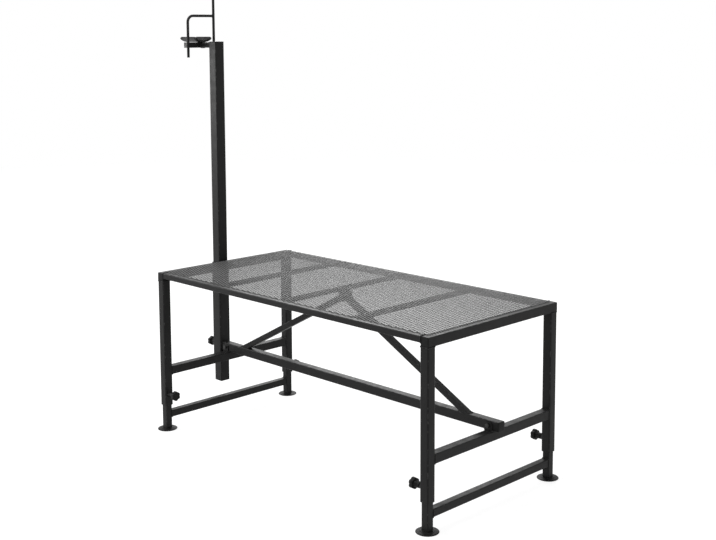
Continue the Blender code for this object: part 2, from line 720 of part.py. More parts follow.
def make_headpiece(body):
    arm = tube_between("head_arm", (HEAD_TUBE, HEAD_TUBE), HEAD_TUBE_WALL,
                       (CHIN_BAR_X + HEAD_TUBE / 2 + FIT, 0, CHIN_BAR_Z),
                       (POST_X - POST / 2 - FIT, 0, CHIN_BAR_Z), "X")
    hang(arm, body)
    bar = box((HEAD_TUBE, CHIN_BAR_LENGTH, HEAD_TUBE), HEAD_TUBE_WALL)
    place(bar, (CHIN_BAR_X, 0, CHIN_BAR_Z))
    for side in (-1, 1):
        drill(bar, LOOP_ROD_RADIUS + LOOP_FIT, 2 * HEAD_TUBE,
              (CHIN_BAR_X, side * LOOP_HALF_WIDTH, CHIN_BAR_Z), "+Z")
    thumb_place = (CHIN_BAR_X - HEAD_TUBE / 2, LOOP_HALF_WIDTH, CHIN_BAR_Z)
    drill(bar, THUMB_STUD_RADIUS + BOLT_FIT, HEAD_TUBE - LOOP_ROD_RADIUS, thumb_place, "+X")
    hang(finish(bar, "chin_bar", "powder_coat"), body)
    make_cradle(body)
    return thumb_place


def arc_band(outer_radius, thickness, half_angle, length):
    """A curved sheet: an arc of one thickness, low side down, extruded along local Z."""
    steps = ROUND_STEPS // 2
    angles = [half_angle * (2 * step / steps - 1) for step in range(steps + 1)]
    outer = [(outer_radius * math.sin(angle), -outer_radius * math.cos(angle))
             for angle in angles]
    radius = outer_radius - thickness
    inner = [(radius * math.sin(angle), -radius * math.cos(angle))
             for angle in reversed(angles)]
    return extruded([outer + inner], length)


def make_cradle(body):
    """The bent plate that the chin lies in, and the rubber pad inside it."""
    centre_x = CRADLE_FRONT_X + CRADLE_LENGTH / 2
    centre_z = POST_TOP + FIT + CRADLE_RADIUS
    cradle = arc_band(CRADLE_RADIUS, SHEET_STEEL, CRADLE_HALF_ANGLE, CRADLE_LENGTH)
    pad = arc_band(CRADLE_RADIUS - SHEET_STEEL - FIT, PAD_THICKNESS,
                   CRADLE_HALF_ANGLE, CRADLE_LENGTH - 2 * PAD_SETBACK)
    for obj, name, finish_name in ((cradle, "chin_cradle", "powder_coat"),
                                   (pad, "chin_pad", "rubber")):
        obj.location = (centre_x, 0, centre_z)
        obj.rotation_euler = (math.pi / 2, 0, math.pi / 2)
        obj.parent = deck_origin
        hang(finish(obj, name, finish_name), body)


def make_nose_loop(post_body):
    """The bent bar over the muzzle: a short leg, a level top and a long straight leg."""
    body = make_empty("nose_loop_slide",
                      Vector((CHIN_BAR_X, LOOP_HALF_WIDTH, CHIN_BAR_Z)))
    body.parent = deck_origin
    top_z = POST_TOP + LOOP_CLEAR_HEIGHT + LOOP_ROD_RADIUS
    bar_bottom = POST_TOP - HEAD_TUBE
    corner = LOOP_CORNER_RADIUS
    near_y = -LOOP_HALF_WIDTH
    hook = [(0, near_y, bar_bottom - LOOP_SHORT_LEG_BELOW), (0, near_y, top_z - corner)]
    for step in range(1, LOOP_BEND_STEPS + 1):
        angle = math.pi / 2 * step / LOOP_BEND_STEPS
        hook.append((0, near_y + corner * (1 - math.cos(angle)),
                     top_z - corner + corner * math.sin(angle)))
    hook.append((0, LOOP_HALF_WIDTH, top_z))
    rod_top = top_z + LOOP_LONG_LEG_ABOVE
    straight = [(0, LOOP_HALF_WIDTH, bar_bottom - LOOP_LONG_LEG_BELOW),
                (0, LOOP_HALF_WIDTH, rod_top)]
    loop = rod(straight, LOOP_ROD_RADIUS)
    boolean(loop, rod(hook, LOOP_ROD_RADIUS), "UNION")
    loop = place(smooth(mesh_of(loop)), (CHIN_BAR_X, 0, 0))
    hang(finish(loop, "nose_loop", "powder_coat"), body)
    cap = place(make_loop_cap(), (CHIN_BAR_X, LOOP_HALF_WIDTH, rod_top))
    hang(finish(cap, "nose_loop_cap", "black_plastic"), body)


def make_loop_cap():
    """A moulded cap pushed over a round bar's end, which is at its local Z = 0."""
    bore = LOOP_ROD_RADIUS + FIT
    top = FIT + LOOP_CAP_HEIGHT - LOOP_CAP_DEPTH
    base = top - LOOP_CAP_HEIGHT
    profile = [
        (0, top),
        (LOOP_CAP_RADIUS - LOOP_CAP_EDGE, top),
        (LOOP_CAP_RADIUS - LOOP_CAP_EDGE / 3, top - LOOP_CAP_EDGE / 3),
        (LOOP_CAP_RADIUS, top - LOOP_CAP_EDGE),
        ((LOOP_CAP_RADIUS + LOOP_ROD_RADIUS) / 2, base),
        (bore, base),
        (bore, FIT),
        (0, FIT),
    ]
    return turned(profile)


clear_scene()
stand = make_collection("livestock_stand")
cutters = make_collection("cutters")
deck_origin = make_empty("deck_origin", (DECK_CENTRE_X, 0, 0))

make_deck_frame()
make_deck_mesh()
for end_name, end_sign in (("head", -1), ("tail", 1)):
    make_leg_pair(end_name, end_sign)
    make_lower_frame(end_name, end_sign)
    make_leg_clamps(end_name, end_sign)
make_stretcher()
make_braces()
make_sleeve()
post_body = make_post()
thumb_screw_place = make_headpiece(post_body)
make_nose_loop(post_body)
clamp("loop_thumb_screw", thumb_screw_place, "-X",
      (THUMB_KNOB_RADIUS, THUMB_KNOB_HEAD, THUMB_KNOB_REACH, KNOB_NUT_GAP, THUMB_STUD_RADIUS,
       HEAD_TUBE / 2 - LOOP_ROD_RADIUS - FIT))
bpy.context.view_layer.update()
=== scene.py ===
# %% [markdown]
# # A livestock stand, dressed for its photograph
#
# The stand is a welded steel deck on four telescoping legs, with a sliding post and a nose loop at
# the head end. Its CAD model is a fixed frame: every solid is already in place, in metres. They
# could be shown as they are, but real tube has rolled corners, weld beads and walled ends, and the
# deck is slit and stretched steel. So a finer piece goes over each solid here.

import json
import math
import random

import bmesh
import bpy
from mathutils import Matrix, Vector

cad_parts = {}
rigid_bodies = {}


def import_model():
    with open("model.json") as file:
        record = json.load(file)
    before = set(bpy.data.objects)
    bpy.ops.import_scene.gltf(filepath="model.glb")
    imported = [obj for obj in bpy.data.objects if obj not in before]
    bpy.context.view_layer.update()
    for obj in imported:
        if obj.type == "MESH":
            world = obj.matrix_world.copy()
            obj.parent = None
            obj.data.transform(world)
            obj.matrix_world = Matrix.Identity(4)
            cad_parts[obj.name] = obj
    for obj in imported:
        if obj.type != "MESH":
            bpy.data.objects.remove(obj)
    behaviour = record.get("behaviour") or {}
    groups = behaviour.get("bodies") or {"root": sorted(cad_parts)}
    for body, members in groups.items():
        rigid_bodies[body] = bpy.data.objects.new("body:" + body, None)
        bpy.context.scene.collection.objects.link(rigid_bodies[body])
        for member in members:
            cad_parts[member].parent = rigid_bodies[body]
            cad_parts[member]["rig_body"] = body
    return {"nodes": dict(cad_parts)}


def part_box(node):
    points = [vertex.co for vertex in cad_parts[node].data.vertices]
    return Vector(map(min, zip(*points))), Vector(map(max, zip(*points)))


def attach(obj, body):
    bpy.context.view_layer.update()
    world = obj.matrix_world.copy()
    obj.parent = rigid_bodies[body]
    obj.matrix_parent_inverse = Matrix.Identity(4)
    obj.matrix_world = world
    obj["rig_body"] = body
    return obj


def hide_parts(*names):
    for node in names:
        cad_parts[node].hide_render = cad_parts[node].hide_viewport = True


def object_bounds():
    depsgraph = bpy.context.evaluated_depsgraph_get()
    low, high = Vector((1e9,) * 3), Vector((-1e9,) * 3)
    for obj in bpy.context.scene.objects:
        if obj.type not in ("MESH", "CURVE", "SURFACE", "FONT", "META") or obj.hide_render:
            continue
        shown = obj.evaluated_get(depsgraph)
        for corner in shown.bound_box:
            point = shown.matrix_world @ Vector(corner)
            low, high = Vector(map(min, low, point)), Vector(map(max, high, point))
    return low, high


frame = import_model()
cad_low, cad_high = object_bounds()
print("CAD box:", [round(size, 4) for size in cad_high - cad_low])

# %% [markdown]
# ## The camera
#
# The photograph was taken from above the deck's tail corner with a normal lens, and its horizon
# sits near the top edge. Tilting the camera further down would frame the stand too, but upright
# tubes would then converge more than they do. A lens shift moves the frame and nothing else.

# %% Camera
CAMERA_PLACE = (2.88625, -2.7073, 1.4335)
CAMERA_TURN = math.radians(45.27)
CAMERA_DIP = math.radians(6.73)
CAMERA_ROLL = math.radians(-0.25)
CAMERA_LENS = 59.27
CAMERA_SHIFT = -0.1415

camera_data = bpy.data.cameras.new("camera")
camera_data.sensor_fit = "HORIZONTAL"
camera_data.sensor_width = 36.0
camera_data.lens = CAMERA_LENS
camera_data.shift_y = CAMERA_SHIFT
camera_data.clip_end = 60.0
camera = bpy.data.objects.new("camera", camera_data)
aim = Matrix.Rotation(CAMERA_TURN, 4, "Z") @ Matrix.Rotation(math.pi / 2 - CAMERA_DIP, 4, "X")
camera.matrix_world = (Matrix.Translation(CAMERA_PLACE) @ aim
                       @ Matrix.Rotation(CAMERA_ROLL, 4, "Z"))
bpy.context.scene.collection.objects.link(camera)
bpy.context.scene.camera = camera
print("camera:", CAMERA_LENS, "mm lens at", CAMERA_PLACE)

# %% [markdown]
# ## Finishes
#
# There are five finishes: a charcoal powder coat, a lighter copy of it on the deck's mesh, whose
# extra lightness is painted light standing in for the light on its upward faces, black zinc plate,
# moulded black plastic, and rubber. Each could be a single colour. Real coats drift in shade, dimple
# like orange peel and rub through on edges, so each is a small network of noises.

# %% Node helpers
def start_finish(name):
    material = bpy.data.materials.new(name)
    material.use_nodes = True
    tree = material.node_tree
    return material, tree, tree.nodes["Principled BSDF"]


def feed(tree, node, inputs):
    """Give each input of a node another node's output, or else a plain value."""
    for name, value in inputs.items():
        if isinstance(value, bpy.types.NodeSocket):
            tree.links.new(value, node.inputs[name])
        else:
            node.inputs[name].default_value = value


def add_node(tree, kind, inputs, **settings):
    node = tree.nodes.new("ShaderNode" + kind)
    for name, value in settings.items():
        setattr(node, name, value)
    feed(tree, node, inputs)
    return node


def grain(tree, scale, detail):
    """A noise in the object's own space; scale counts its blotches per metre."""
    place = add_node(tree, "TexCoord", {})
    noise = add_node(tree, "TexNoise", {"Vector": place.outputs["Object"], "Scale": scale,
                                        "Detail": detail})
    return noise.outputs[0]


def spread(tree, value, low, high, low_colour, high_colour):
    """Turn a value between low and high into a colour between two colours."""
    ramp = add_node(tree, "ValToRGB", {"Fac": value})
    first, last = ramp.color_ramp.elements
    first.position = low
    first.color = (*low_colour, 1)
    last.position = high
    last.color = (*high_colour, 1)
    return ramp.outputs["Color"]


def level(tree, value, low, high):
    """Turn a noise into a number between low and high."""
    return add_node(tree, "MapRange", {"Value": value, "From Min": 0.25, "From Max": 0.75,
                                       "To Min": low, "To Max": high}).outputs["Result"]


def lay_over(tree, share, under, over, blend="MIX"):
    """One colour over another, as far as share goes."""
    return add_node(tree, "Mix", {"Factor": share, "A": under, "B": over},
                    data_type="RGBA", blend_type=blend).outputs["Result"]


def dimples(tree, height, depth):
    """A surface raised by a noise; depth is in metres."""
    return add_node(tree, "Bump", {"Distance": depth, "Height": height}).outputs["Normal"]


def grey(value, warmth=0.0):
    return (value * (1 + warmth), value, value * (1 - warmth))


def clouds(tree, scale, detail, dark, light, low=0.3, high=0.7):
    """Blotches that drift between two shades of grey."""
    return spread(tree, grain(tree, scale, detail), low, high, grey(dark), grey(light))


# %% [markdown]
# ### Powder coat
#
# The coat is baked powder, a satin charcoal, thinnest on sharp edges, where handling rubs it pale.
# The rubbed places could be painted by hand. Here each vertex carries a number called wear, high
# on corners and tube ends, and a noise breaks the wear up into small scuffs.

# %% Powder coat
WEAR = "wear"


def rubbed(tree, first_scuff, full_scuff):
    """Where the coat is rubbed: the wear number times a noise, cut off sharply."""
    wear = add_node(tree, "Attribute", {}, attribute_name=WEAR)
    product = add_node(tree, "Math", {0: wear.outputs["Fac"], 1: grain(tree, 85, 6.0)},
                       operation="MULTIPLY")
    return spread(tree, product.outputs["Value"], first_scuff, full_scuff, grey(0), grey(1))


def powder_coat(name, shade, scuffed, gloss):
    material, tree, shader = start_finish(name)
    drift = clouds(tree, 7, 3.0, shade * 0.86, shade * 1.15, 0.35, 0.65)
    dust = clouds(tree, 260, 4.0, shade, shade * 1.6, 0.60, 0.80)
    mottle = lay_over(tree, 0.35, drift, dust, "LIGHTEN")
    scuff = spread(tree, grain(tree, 420, 3.0), 0.3, 0.7, grey(scuffed * 0.8), grey(scuffed, 0.02))
    feed(tree, shader, {
        "Base Color": lay_over(tree, rubbed(tree, 0.50, 0.60), mottle, scuff),
        "Roughness": level(tree, grain(tree, 38, 4.0), 0.38, 0.52),
        "Normal": dimples(tree, grain(tree, 620, 1.0), 0.00022),
        "Specular IOR Level": gloss,
    })
    return material


frame_coat = powder_coat("charcoal powder coat", 0.014, 0.09, 0.13)
# The mesh's coat is the frame's coat painted lighter: painted light, standing in for the light that
# falls on its upward faces.
mesh_coat = powder_coat("mesh coat lightened as painted light", 0.078, 0.18, 0.30)
print("coats:", frame_coat.name, "and", mesh_coat.name)

# %% [markdown]
# ### Zinc, plastic and rubber
#
# Bolts, nuts and studs are plated in black zinc: dark, slightly cloudy metal. The knobs, feet and
# plugs are moulded black plastic with a fine eroded grain, and the pad is a duller rubber. All
# three could share one glossy black, but their roughness is what tells them apart.

# %% Zinc, plastic and rubber
def plated_steel(name, shade):
    material, tree, shader = start_finish(name)
    feed(tree, shader, {
        "Base Color": spread(tree, grain(tree, 240, 4.0), 0.3, 0.7,
                             grey(shade * 0.78, 0.02), grey(shade)),
        "Metallic": 1.0,
        "Roughness": level(tree, grain(tree, 420, 3.0), 0.40, 0.55),
        "Normal": dimples(tree, grain(tree, 1500, 2.0), 0.00004),
    })
    return material


def moulded(name, shade, low_rough, high_rough, grain_scale, grain_depth):
    material, tree, shader = start_finish(name)
    plain = clouds(tree, 45, 4.0, shade * 0.8, shade * 1.25)
    chafed = clouds(tree, 300, 3.0, shade * 2.2, shade * 3.4)
    feed(tree, shader, {
        "Base Color": lay_over(tree, rubbed(tree, 0.46, 0.66), plain, chafed),
        "Roughness": level(tree, grain(tree, 90, 3.0), low_rough, high_rough),
        "Normal": dimples(tree, grain(tree, grain_scale, 2.0), grain_depth),
        "Specular IOR Level": 0.12,
    })
    return material


FINISHES = {
    "frame_coat": frame_coat,
    "mesh_coat": mesh_coat,
    "black_zinc": plated_steel("black zinc plate", 0.05),
    "black_plastic": moulded("moulded black plastic", 0.007, 0.42, 0.58, 1500, 0.00008),
    "rubber_pad": moulded("black rubber", 0.018, 0.66, 0.82, 900, 0.00015),
}
print("finishes:", sorted(FINISHES))

# %% [markdown]
# ## Skinning rings
#
# Nearly every piece here has one cross-section that runs along a line: a tube, a bar, a weld bead,
# a turned foot, a bent plate. Blender's own cylinders and cubes could be bevelled one by one.
# Instead one helper joins rings of points with quads, and each piece only says what its rings are.

# %% Skin helper
def skin(work, rings, loop=False):
    """Join rings of (point, wear) in order; loop joins the last to the first, or both are capped."""
    wear_layer = work.verts.layers.float.get(WEAR) or work.verts.layers.float.new(WEAR)
    rows = []
    for ring in rings:
        row = []
        for point, wear in ring:
            vertex = work.verts.new(point)
            vertex[wear_layer] = wear
            row.append(vertex)
        rows.append(row)
    pairs = list(zip(rows, rows[1:]))
    if loop:
        pairs.append((rows[-1], rows[0]))
    count = len(rows[0])
    for first, second in pairs:
        for index in range(count):
            after = (index + 1) % count
            work.faces.new((first[index], first[after], second[after], second[index]))
    if not loop:
        work.faces.new(list(reversed(rows[0])))
        work.faces.new(rows[-1])


# %% [markdown]
# A finished piece is handed over to the frame: it takes its finish, stands for the CAD node that it
# covers, and rides on that node's body. Crisp shading could come from an edge split, but a weighted
# normal modifier keeps wide flats flat next to small rounded corners.

# %% Hand over a piece
CREASE = math.radians(38)
made_pieces = []


def as_object(work, name):
    """Turn a working mesh into an object of the scene."""
    mesh = bpy.data.meshes.new(name)
    work.to_mesh(mesh)
    work.free()
    made = bpy.data.objects.new(name, mesh)
    bpy.context.scene.collection.objects.link(made)
    return made


def shade_flats_flat(piece):
    piece.data.set_sharp_from_angle(angle=CREASE)
    piece.modifiers.new("weighted normals", "WEIGHTED_NORMAL").keep_sharp = True


def hand_over(work, name, node, slot, stands_for=True, flat=False):
    """Turn the working mesh into a named piece that rides with a CAD node's body."""
    bmesh.ops.recalc_face_normals(work, faces=work.faces)
    piece = as_object(work, name)
    piece.data.materials.append(FINISHES[slot])
    if not flat:
        piece.data.shade_smooth()
        shade_flats_flat(piece)
    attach(piece, frame["nodes"][node]["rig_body"])
    if stands_for:
        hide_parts(node)
    made_pieces.append(piece)
    return piece


def steel(work, node):
    """Hand over a piece of the coated frame."""
    return hand_over(work, "steel_" + node, node, "frame_coat")


def moulding(work, node):
    """Hand over a piece of black plastic."""
    return hand_over(work, "moulded_" + node, node, "black_plastic")


# %% [markdown]
# ## Square tube
#
# The frame is welded from cold-rolled square tube. Its corners are rolled to about twice the wall,
# and its ends are sawn and filed. A cube with a bevel has the corners but no wall to see into, so
# the tube's rings go out along the outside and come back along the bore.

# %% Tube helpers
UP = Vector((0, 0, 1))


def corner_outline(width, height, radius, steps=4):
    """Points (x, y, wear) round a rounded rectangle; wear is highest on the corners."""
    outline = []
    for side_x, side_y, start in ((1, 1, 0), (-1, 1, 90), (-1, -1, 180), (1, -1, 270)):
        for step in range(steps + 1):
            angle = math.radians(start + 90 * step / steps)
            outline.append((side_x * (width / 2 - radius) + radius * math.cos(angle),
                            side_y * (height / 2 - radius) + radius * math.sin(angle),
                            math.sin(math.pi * step / steps)))
    return outline


def ring_at(outline, place, height, wear=None):
    """Lift an outline to a height in a placed frame, with its own wear or a stated one."""
    return [(place @ Vector((x, y, height)), own if wear is None else wear)
            for x, y, own in outline]


def square_rings(place, width, depth, radius, rows):
    """Rings of one rounded rectangle; rows hold each ring's inset, height and wear."""
    return [ring_at(corner_outline(width - 2 * inset, depth - 2 * inset, radius - inset),
                    place, height, wear) for inset, height, wear in rows]


def along(axis, centre, start):
    """A frame whose local Z runs along X, Y or Z from start; the others follow in order."""
    index = "XYZ".index(axis)
    columns = [Vector((0, 0, 0)) for _ in range(3)]
    columns[0][(index + 1) % 3] = 1
    columns[1][(index + 2) % 3] = 1
    columns[2][index] = 1
    origin = Vector(centre)
    origin[index] = start
    return Matrix.Translation(origin) @ Matrix(columns).transposed().to_4x4()


SAWN_EDGE = 0.0004
END_WEAR = 0.0035


def worn_rows(edge, length):
    """Rows of a bar's outside, its two ends filed by edge and rubbed bright."""
    return [(edge, 0, 1.0), (0, edge, 0.9), (0, END_WEAR, None), (0, length - END_WEAR, None),
            (0, length - edge, 0.9), (edge, length, 1.0)]


def hollow_tube(work, width, depth, wall, length, place):
    rows = worn_rows(SAWN_EDGE, length) + [(wall, length, 0.5), (wall, 0, 0.5)]
    skin(work, square_rings(place, width, depth, 2 * wall, rows), loop=True)


# %% [markdown]
# ## Weld beads
#
# Every joint of the frame is welded and then coated over. A bead is a row of overlapping puddles,
# scalloped every couple of millimetres. A smooth fillet would be simpler, but the eye reads the
# scallops as a weld, so each bead is a thin rope of rings whose radius jumps and fades.

# %% Weld helpers
PUDDLE = 0.0025
PUDDLE_RINGS = 4
BEAD_RADIUS = 0.0023
BEAD_CORNER = 0.003
bead_random = random.Random(11)


def resample(points, spacing, closed):
    """Points at an even spacing along a polyline."""
    line = list(points)
    if closed:
        line.append(line[0])
    lengths = [(b - a).length for a, b in zip(line, line[1:])]
    total = sum(lengths)
    count = max(4, round(total / spacing))
    even = []
    leg, passed = 0, 0.0
    for index in range(count if closed else count + 1):
        goal = total * index / count
        while leg < len(lengths) - 1 and passed + lengths[leg] < goal:
            passed += lengths[leg]
            leg += 1
        share = (goal - passed) / lengths[leg]
        even.append(line[leg].lerp(line[leg + 1], min(1.0, share)))
    return even


def rope_ring(line, index, closed, normal, radius, wear, count):
    """A ring round one point of a line, square to the line; normal is square to it too."""
    centre = line[index]
    before = line[index - 1] if index or closed else centre
    after = line[(index + 1) % len(line)] if closed or index < len(line) - 1 else centre
    side = (after - before).normalized().cross(normal).normalized()
    angles = [math.tau * step / count for step in range(count)]
    return [(centre + (normal * math.cos(angle) + side * math.sin(angle)) * radius, wear)
            for angle in angles]


def weld(work, points, normal, closed=False, radius=BEAD_RADIUS):
    """A scalloped bead along a line; normal is square to the line all along it."""
    line = resample(points, PUDDLE / PUDDLE_RINGS, closed)
    rings = []
    for index in range(len(line)):
        phase = (index % PUDDLE_RINGS) / PUDDLE_RINGS
        size = radius * (1.0 - 0.24 * phase) * bead_random.uniform(0.94, 1.06)
        if not closed:
            from_end = min(index, len(line) - 1 - index)
            size *= min(1.0, 0.45 + 0.25 * from_end)
        rings.append(rope_ring(line, index, closed, normal, size, 0.35, 8))
    skin(work, rings, loop=closed)


def weld_round(work, place, width, depth, corner=BEAD_CORNER):
    """A bead all the way round a rectangular section on a placed frame's floor."""
    ring = ring_at(corner_outline(width, depth, corner), place, 0)
    weld(work, [point for point, _ in ring], (place.to_3x3() @ UP).normalized(), True)


# %% [markdown]
# ## Deck frame
#
# The deck is a flat rectangle of tube: two square end rails, two flatter side rails between them,
# and three cross members under the mesh. Their sizes could be typed in, but all lie along the
# axes, so each tube fills its CAD node's box, and a bead goes round each butted end.

# %% Deck frame
RAIL_WALL = 0.0015
ENDS = ("head", "tail")
SIDES = ("near", "far")


def coated_tube(node, axis, wall=RAIL_WALL, beads=0):
    """A tube that fills its node's box; beads is how many of its ends are welded."""
    low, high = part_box(node)
    size = high - low
    centre = (low + high) / 2
    index = "XYZ".index(axis)
    width, depth = size[(index + 1) % 3], size[(index + 2) % 3]
    work = bmesh.new()
    hollow_tube(work, width, depth, wall, size[index], along(axis, centre, low[index]))
    for end in (low[index], high[index])[:beads]:
        weld_round(work, along(axis, centre, end), width, depth)
    steel(work, node)


for end in ENDS:
    coated_tube("deck_end_rail_" + end, "Y")
for side in SIDES:
    coated_tube("deck_side_rail_" + side, "X", beads=2)
for number in "123":
    coated_tube("deck_cross_member_" + number, "Y", beads=2)
print("deck frame:", len(made_pieces), "tubes")

# %% [markdown]
# ## Plugs
#
# Each open tube end is closed with a hammered-in plastic plug: a thin square head with a softly
# crowned face, and a ribbed body that grips the bore. A flat cap would do from afar, but the crown
# is what catches the light. The body hardly shows, so three ribs are enough.

# %% Plugs
PLUG_HEAD = 0.003
PLUG_BODY = 0.012
PLUG_PLAY = 0.0006
POST_WALL = 0.002


def tube_plug(node, axis, outward=1, wall=RAIL_WALL):
    """Square plug whose head lies at the outer end of its node's box."""
    low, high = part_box(node)
    index = "XYZ".index(axis)
    size = (high - low)[(index + 1) % 3]
    place = along(axis, (low + high) / 2, (high if outward > 0 else low)[index])
    if outward < 0:
        place = place @ Matrix.Rotation(math.pi, 4, "X")
    bore = size - 2 * wall - PLUG_PLAY
    foot = -PLUG_HEAD - PLUG_BODY
    rows = [(bore - 0.004, 0.0015, foot, 0), (bore - 0.0012, 0.0015, foot + 0.001, 0)]
    for rib in (0.0095, 0.0060, 0.0025):
        for inset, rise in ((0.0012, 0.0009), (0, 0.0004), (0, -0.0004), (0.0012, -0.0009)):
            rows.append((bore - inset, 0.0015, -PLUG_HEAD - rib - rise, 0))
    rows += [
        (bore - 0.0012, 0.0015, -PLUG_HEAD, 0), (size - PLUG_PLAY, 0.0027, -PLUG_HEAD, 0.3),
        (size, 0.003, -PLUG_HEAD + 0.0004, 0.5), (size, 0.003, -0.0014, 0.7),
        (size - 0.0007, 0.0029, -0.0008, 1.0), (size - 0.0026, 0.0024, -0.0003, 0.6),
        (size * 0.62, 0.0015, -0.00006, 0.1), (size * 0.25, 0.0008, 0, 0.0),
    ]
    work = bmesh.new()
    skin(work, [ring_at(corner_outline(width, width, radius), place, height, wear)
                for width, radius, height, wear in rows])
    moulding(work, node)


for end in ENDS:
    tube_plug("deck_plug_" + end + "_near", "Y", -1)
    tube_plug("deck_plug_" + end + "_far", "Y")
tube_plug("stretcher_plug", "X")
tube_plug("post_plug", "Z", wall=POST_WALL)
print("plugs: 6")

# %% [markdown]
# ## Deck mesh
#
# The deck's sheet is expanded metal: steel is slit in rows and pulled, so that every slit opens
# into a diamond with blunt ends and slightly twisted strands. It could be a plane with holes
# painted in its material, but the walls of real holes close up the view as the eye sinks towards
# the deck. The diamonds tile like bricks: each shares its four corners with its neighbours, so one
# cell is laid again and again, and the corners are merged at the end.

# %% One cell of the deck mesh
NET_LONG = 0.028
NET_SHORT = 0.011
NET_STRAND = 0.0017
NET_STEEL = 0.0012
NET_TWIST = 0.0002
NET_BLUNT = 0.0095
NET_SHOULDER = 0.0020
NET_ROUNDING = 0.6

half_long, half_short = NET_LONG / 2, NET_SHORT / 2
strand_reach = half_long * half_short / math.hypot(half_long, half_short)
share = (strand_reach - NET_STRAND / 2) / strand_reach
tip_long, tip_short = half_long * share, half_short * share
blunt_y = tip_short * (1 - NET_BLUNT / tip_long)
shoulder_y = tip_short * (1 - NET_ROUNDING * NET_SHOULDER / tip_long)
quarter = [(NET_BLUNT, blunt_y), (NET_SHOULDER, shoulder_y)]
opening = quarter + [(-x, y) for x, y in reversed(quarter)]
opening += [(-x, -y) for x, y in opening]
opening = [(x, y, -math.copysign(NET_TWIST, y)) for x, y in opening]
corners = [(half_long, 0), (0, half_short), (-half_long, 0), (0, -half_short)]
print("mesh opening:", round(2000 * NET_BLUNT, 1), "by", round(2000 * shoulder_y, 1), "mm")

# %% [markdown]
# The cells are laid a little past the sheet's outline, and the sheet is then cut straight on its
# four sides, as with shears. Each strand is left open by the cut, so the small rectangles where
# the steel was cut through are filled again.

# %% Lay out, cut and hand over the deck mesh
def lay_cell(work, x, y, z):
    """One diamond of the sheet: an upper and a lower skin, joined by the opening's walls."""
    rims = []
    for side in (1, -1):
        lift = z + side * NET_STEEL / 2
        outer = [work.verts.new((x + cx, y + cy, lift)) for cx, cy in corners]
        inner = [work.verts.new((x + ox, y + oy, lift + oz)) for ox, oy, oz in opening]
        rims.append(inner)
        for index, vertex in enumerate(outer):
            first, last = inner[2 * index - 1], inner[2 * index]
            after = outer[(index + 1) % 4]
            work.faces.new((vertex, first, last))
            work.faces.new((vertex, last, inner[(2 * index + 1) % 8], after))
    for index in range(8):
        after = (index + 1) % 8
        work.faces.new((rims[0][index], rims[0][after], rims[1][after], rims[1][index]))


def lay_net(work, low, high):
    """Tile the sheet with diamonds, every other row set over by half a diamond."""
    middle = (low + high) / 2
    count_x = int((high.x - low.x) / NET_LONG) + 1
    count_y = int((high.y - low.y) / NET_SHORT) + 1
    for i in range(-count_x, count_x + 1):
        for j in range(-count_y, count_y + 1):
            if (i + j) % 2 == 0:
                lay_cell(work, middle.x + i * NET_LONG / 2, middle.y + j * NET_SHORT / 2, middle.z)


def cut_net(work, low, high):
    """Cut the sheet to its outline and close the cut strands."""
    for point, outward in ((low, (-1, 0, 0)), (low, (0, -1, 0)),
                           (high, (1, 0, 0)), (high, (0, 1, 0))):
        everything = work.verts[:] + work.edges[:] + work.faces[:]
        bmesh.ops.bisect_plane(work, geom=everything, plane_co=point, plane_no=outward,
                               clear_outer=True)
    open_edges = [edge for edge in work.edges if edge.is_boundary]
    bmesh.ops.holes_fill(work, edges=open_edges, sides=0)


mesh_low, mesh_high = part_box("deck_mesh")
work = bmesh.new()
lay_net(work, mesh_low, mesh_high)
bmesh.ops.remove_doubles(work, verts=work.verts, dist=0.00002)
cut_net(work, mesh_low, mesh_high)
still_open = sum(1 for edge in work.edges if not edge.is_manifold)
deck_sheet = hand_over(work, "expanded_mesh_sheet", "deck_mesh", "mesh_coat", flat=True)
print("deck mesh:", len(deck_sheet.data.polygons), "faces,", still_open, "open edges")

# %% [markdown]
# ## Legs
#
# Each outer leg hangs from a deck corner, open at the bottom, and an inner leg slides out of it.
# Two rails join the legs of an end, one on the outer and one on the inner tubes. A nut is welded
# over a hole near each outer leg's lower end. It could be a plain hexagon, but a real nut's faces
# are turned, so a cone cuts its six corners back.

# %% Ring and hexagon helpers
NUT_CHAMFER_START = 0.485
NUT_CHAMFER_SLOPE = 0.58
NUT_SINK = 0.0005


def turned_ring(radius_at, place, height, wear=0.0, count=48):
    """A ring round local Z; radius_at gives the radius at each angle."""
    angles = [math.tau * index / count for index in range(count)]
    return [(place @ Vector((radius_at(angle) * math.cos(angle), radius_at(angle) * math.sin(angle),
                             height)), wear) for angle in angles]


def round_ring(radius, place, height, wear=0.0, count=48):
    return turned_ring(lambda angle: radius, place, height, wear, count)


def hexagon_ring(flats, limit, place, height):
    """A hexagon cut by a cone: a hexagon's outline, but nowhere past a limiting radius."""
    def radius_at(angle):
        past_flat = (angle + math.pi / 6) % (math.pi / 3) - math.pi / 6
        return min(flats / 2 / math.cos(past_flat), limit)
    return turned_ring(radius_at, place, height, 0.9)


def hexagon(work, flats, height, place, bore=None):
    """A nut or bolt head with chamfered corners, from its seat up local Z."""
    start = flats * NUT_CHAMFER_START
    limits = [start + (flats / math.sqrt(3) - start) * share for share in (0.0, 0.33, 0.66, 1.0)]
    rows = [(limit, (limit - start) * NUT_CHAMFER_SLOPE) for limit in limits]
    rows += [(limit, height - rise) for limit, rise in reversed(rows)]
    outside = [hexagon_ring(flats, limit, place, rise) for limit, rise in rows]
    inside = []
    if bore:
        inside = [round_ring(bore + NUT_SINK, place, height, 0.8),
                  round_ring(bore, place, height - NUT_SINK, 0.2), round_ring(bore, place, 0, 0.2)]
    skin(work, outside + inside, loop=bool(bore))


# %% Outer legs
LEG_WALL = 0.0025
CLAMP_NUT_FLATS = 0.017
CLAMP_NUT_HEIGHT = 0.008
CLAMP_BORE = 0.0049
NUT_BEAD = 0.0014
NUT_BEAD_SIZE = 0.54


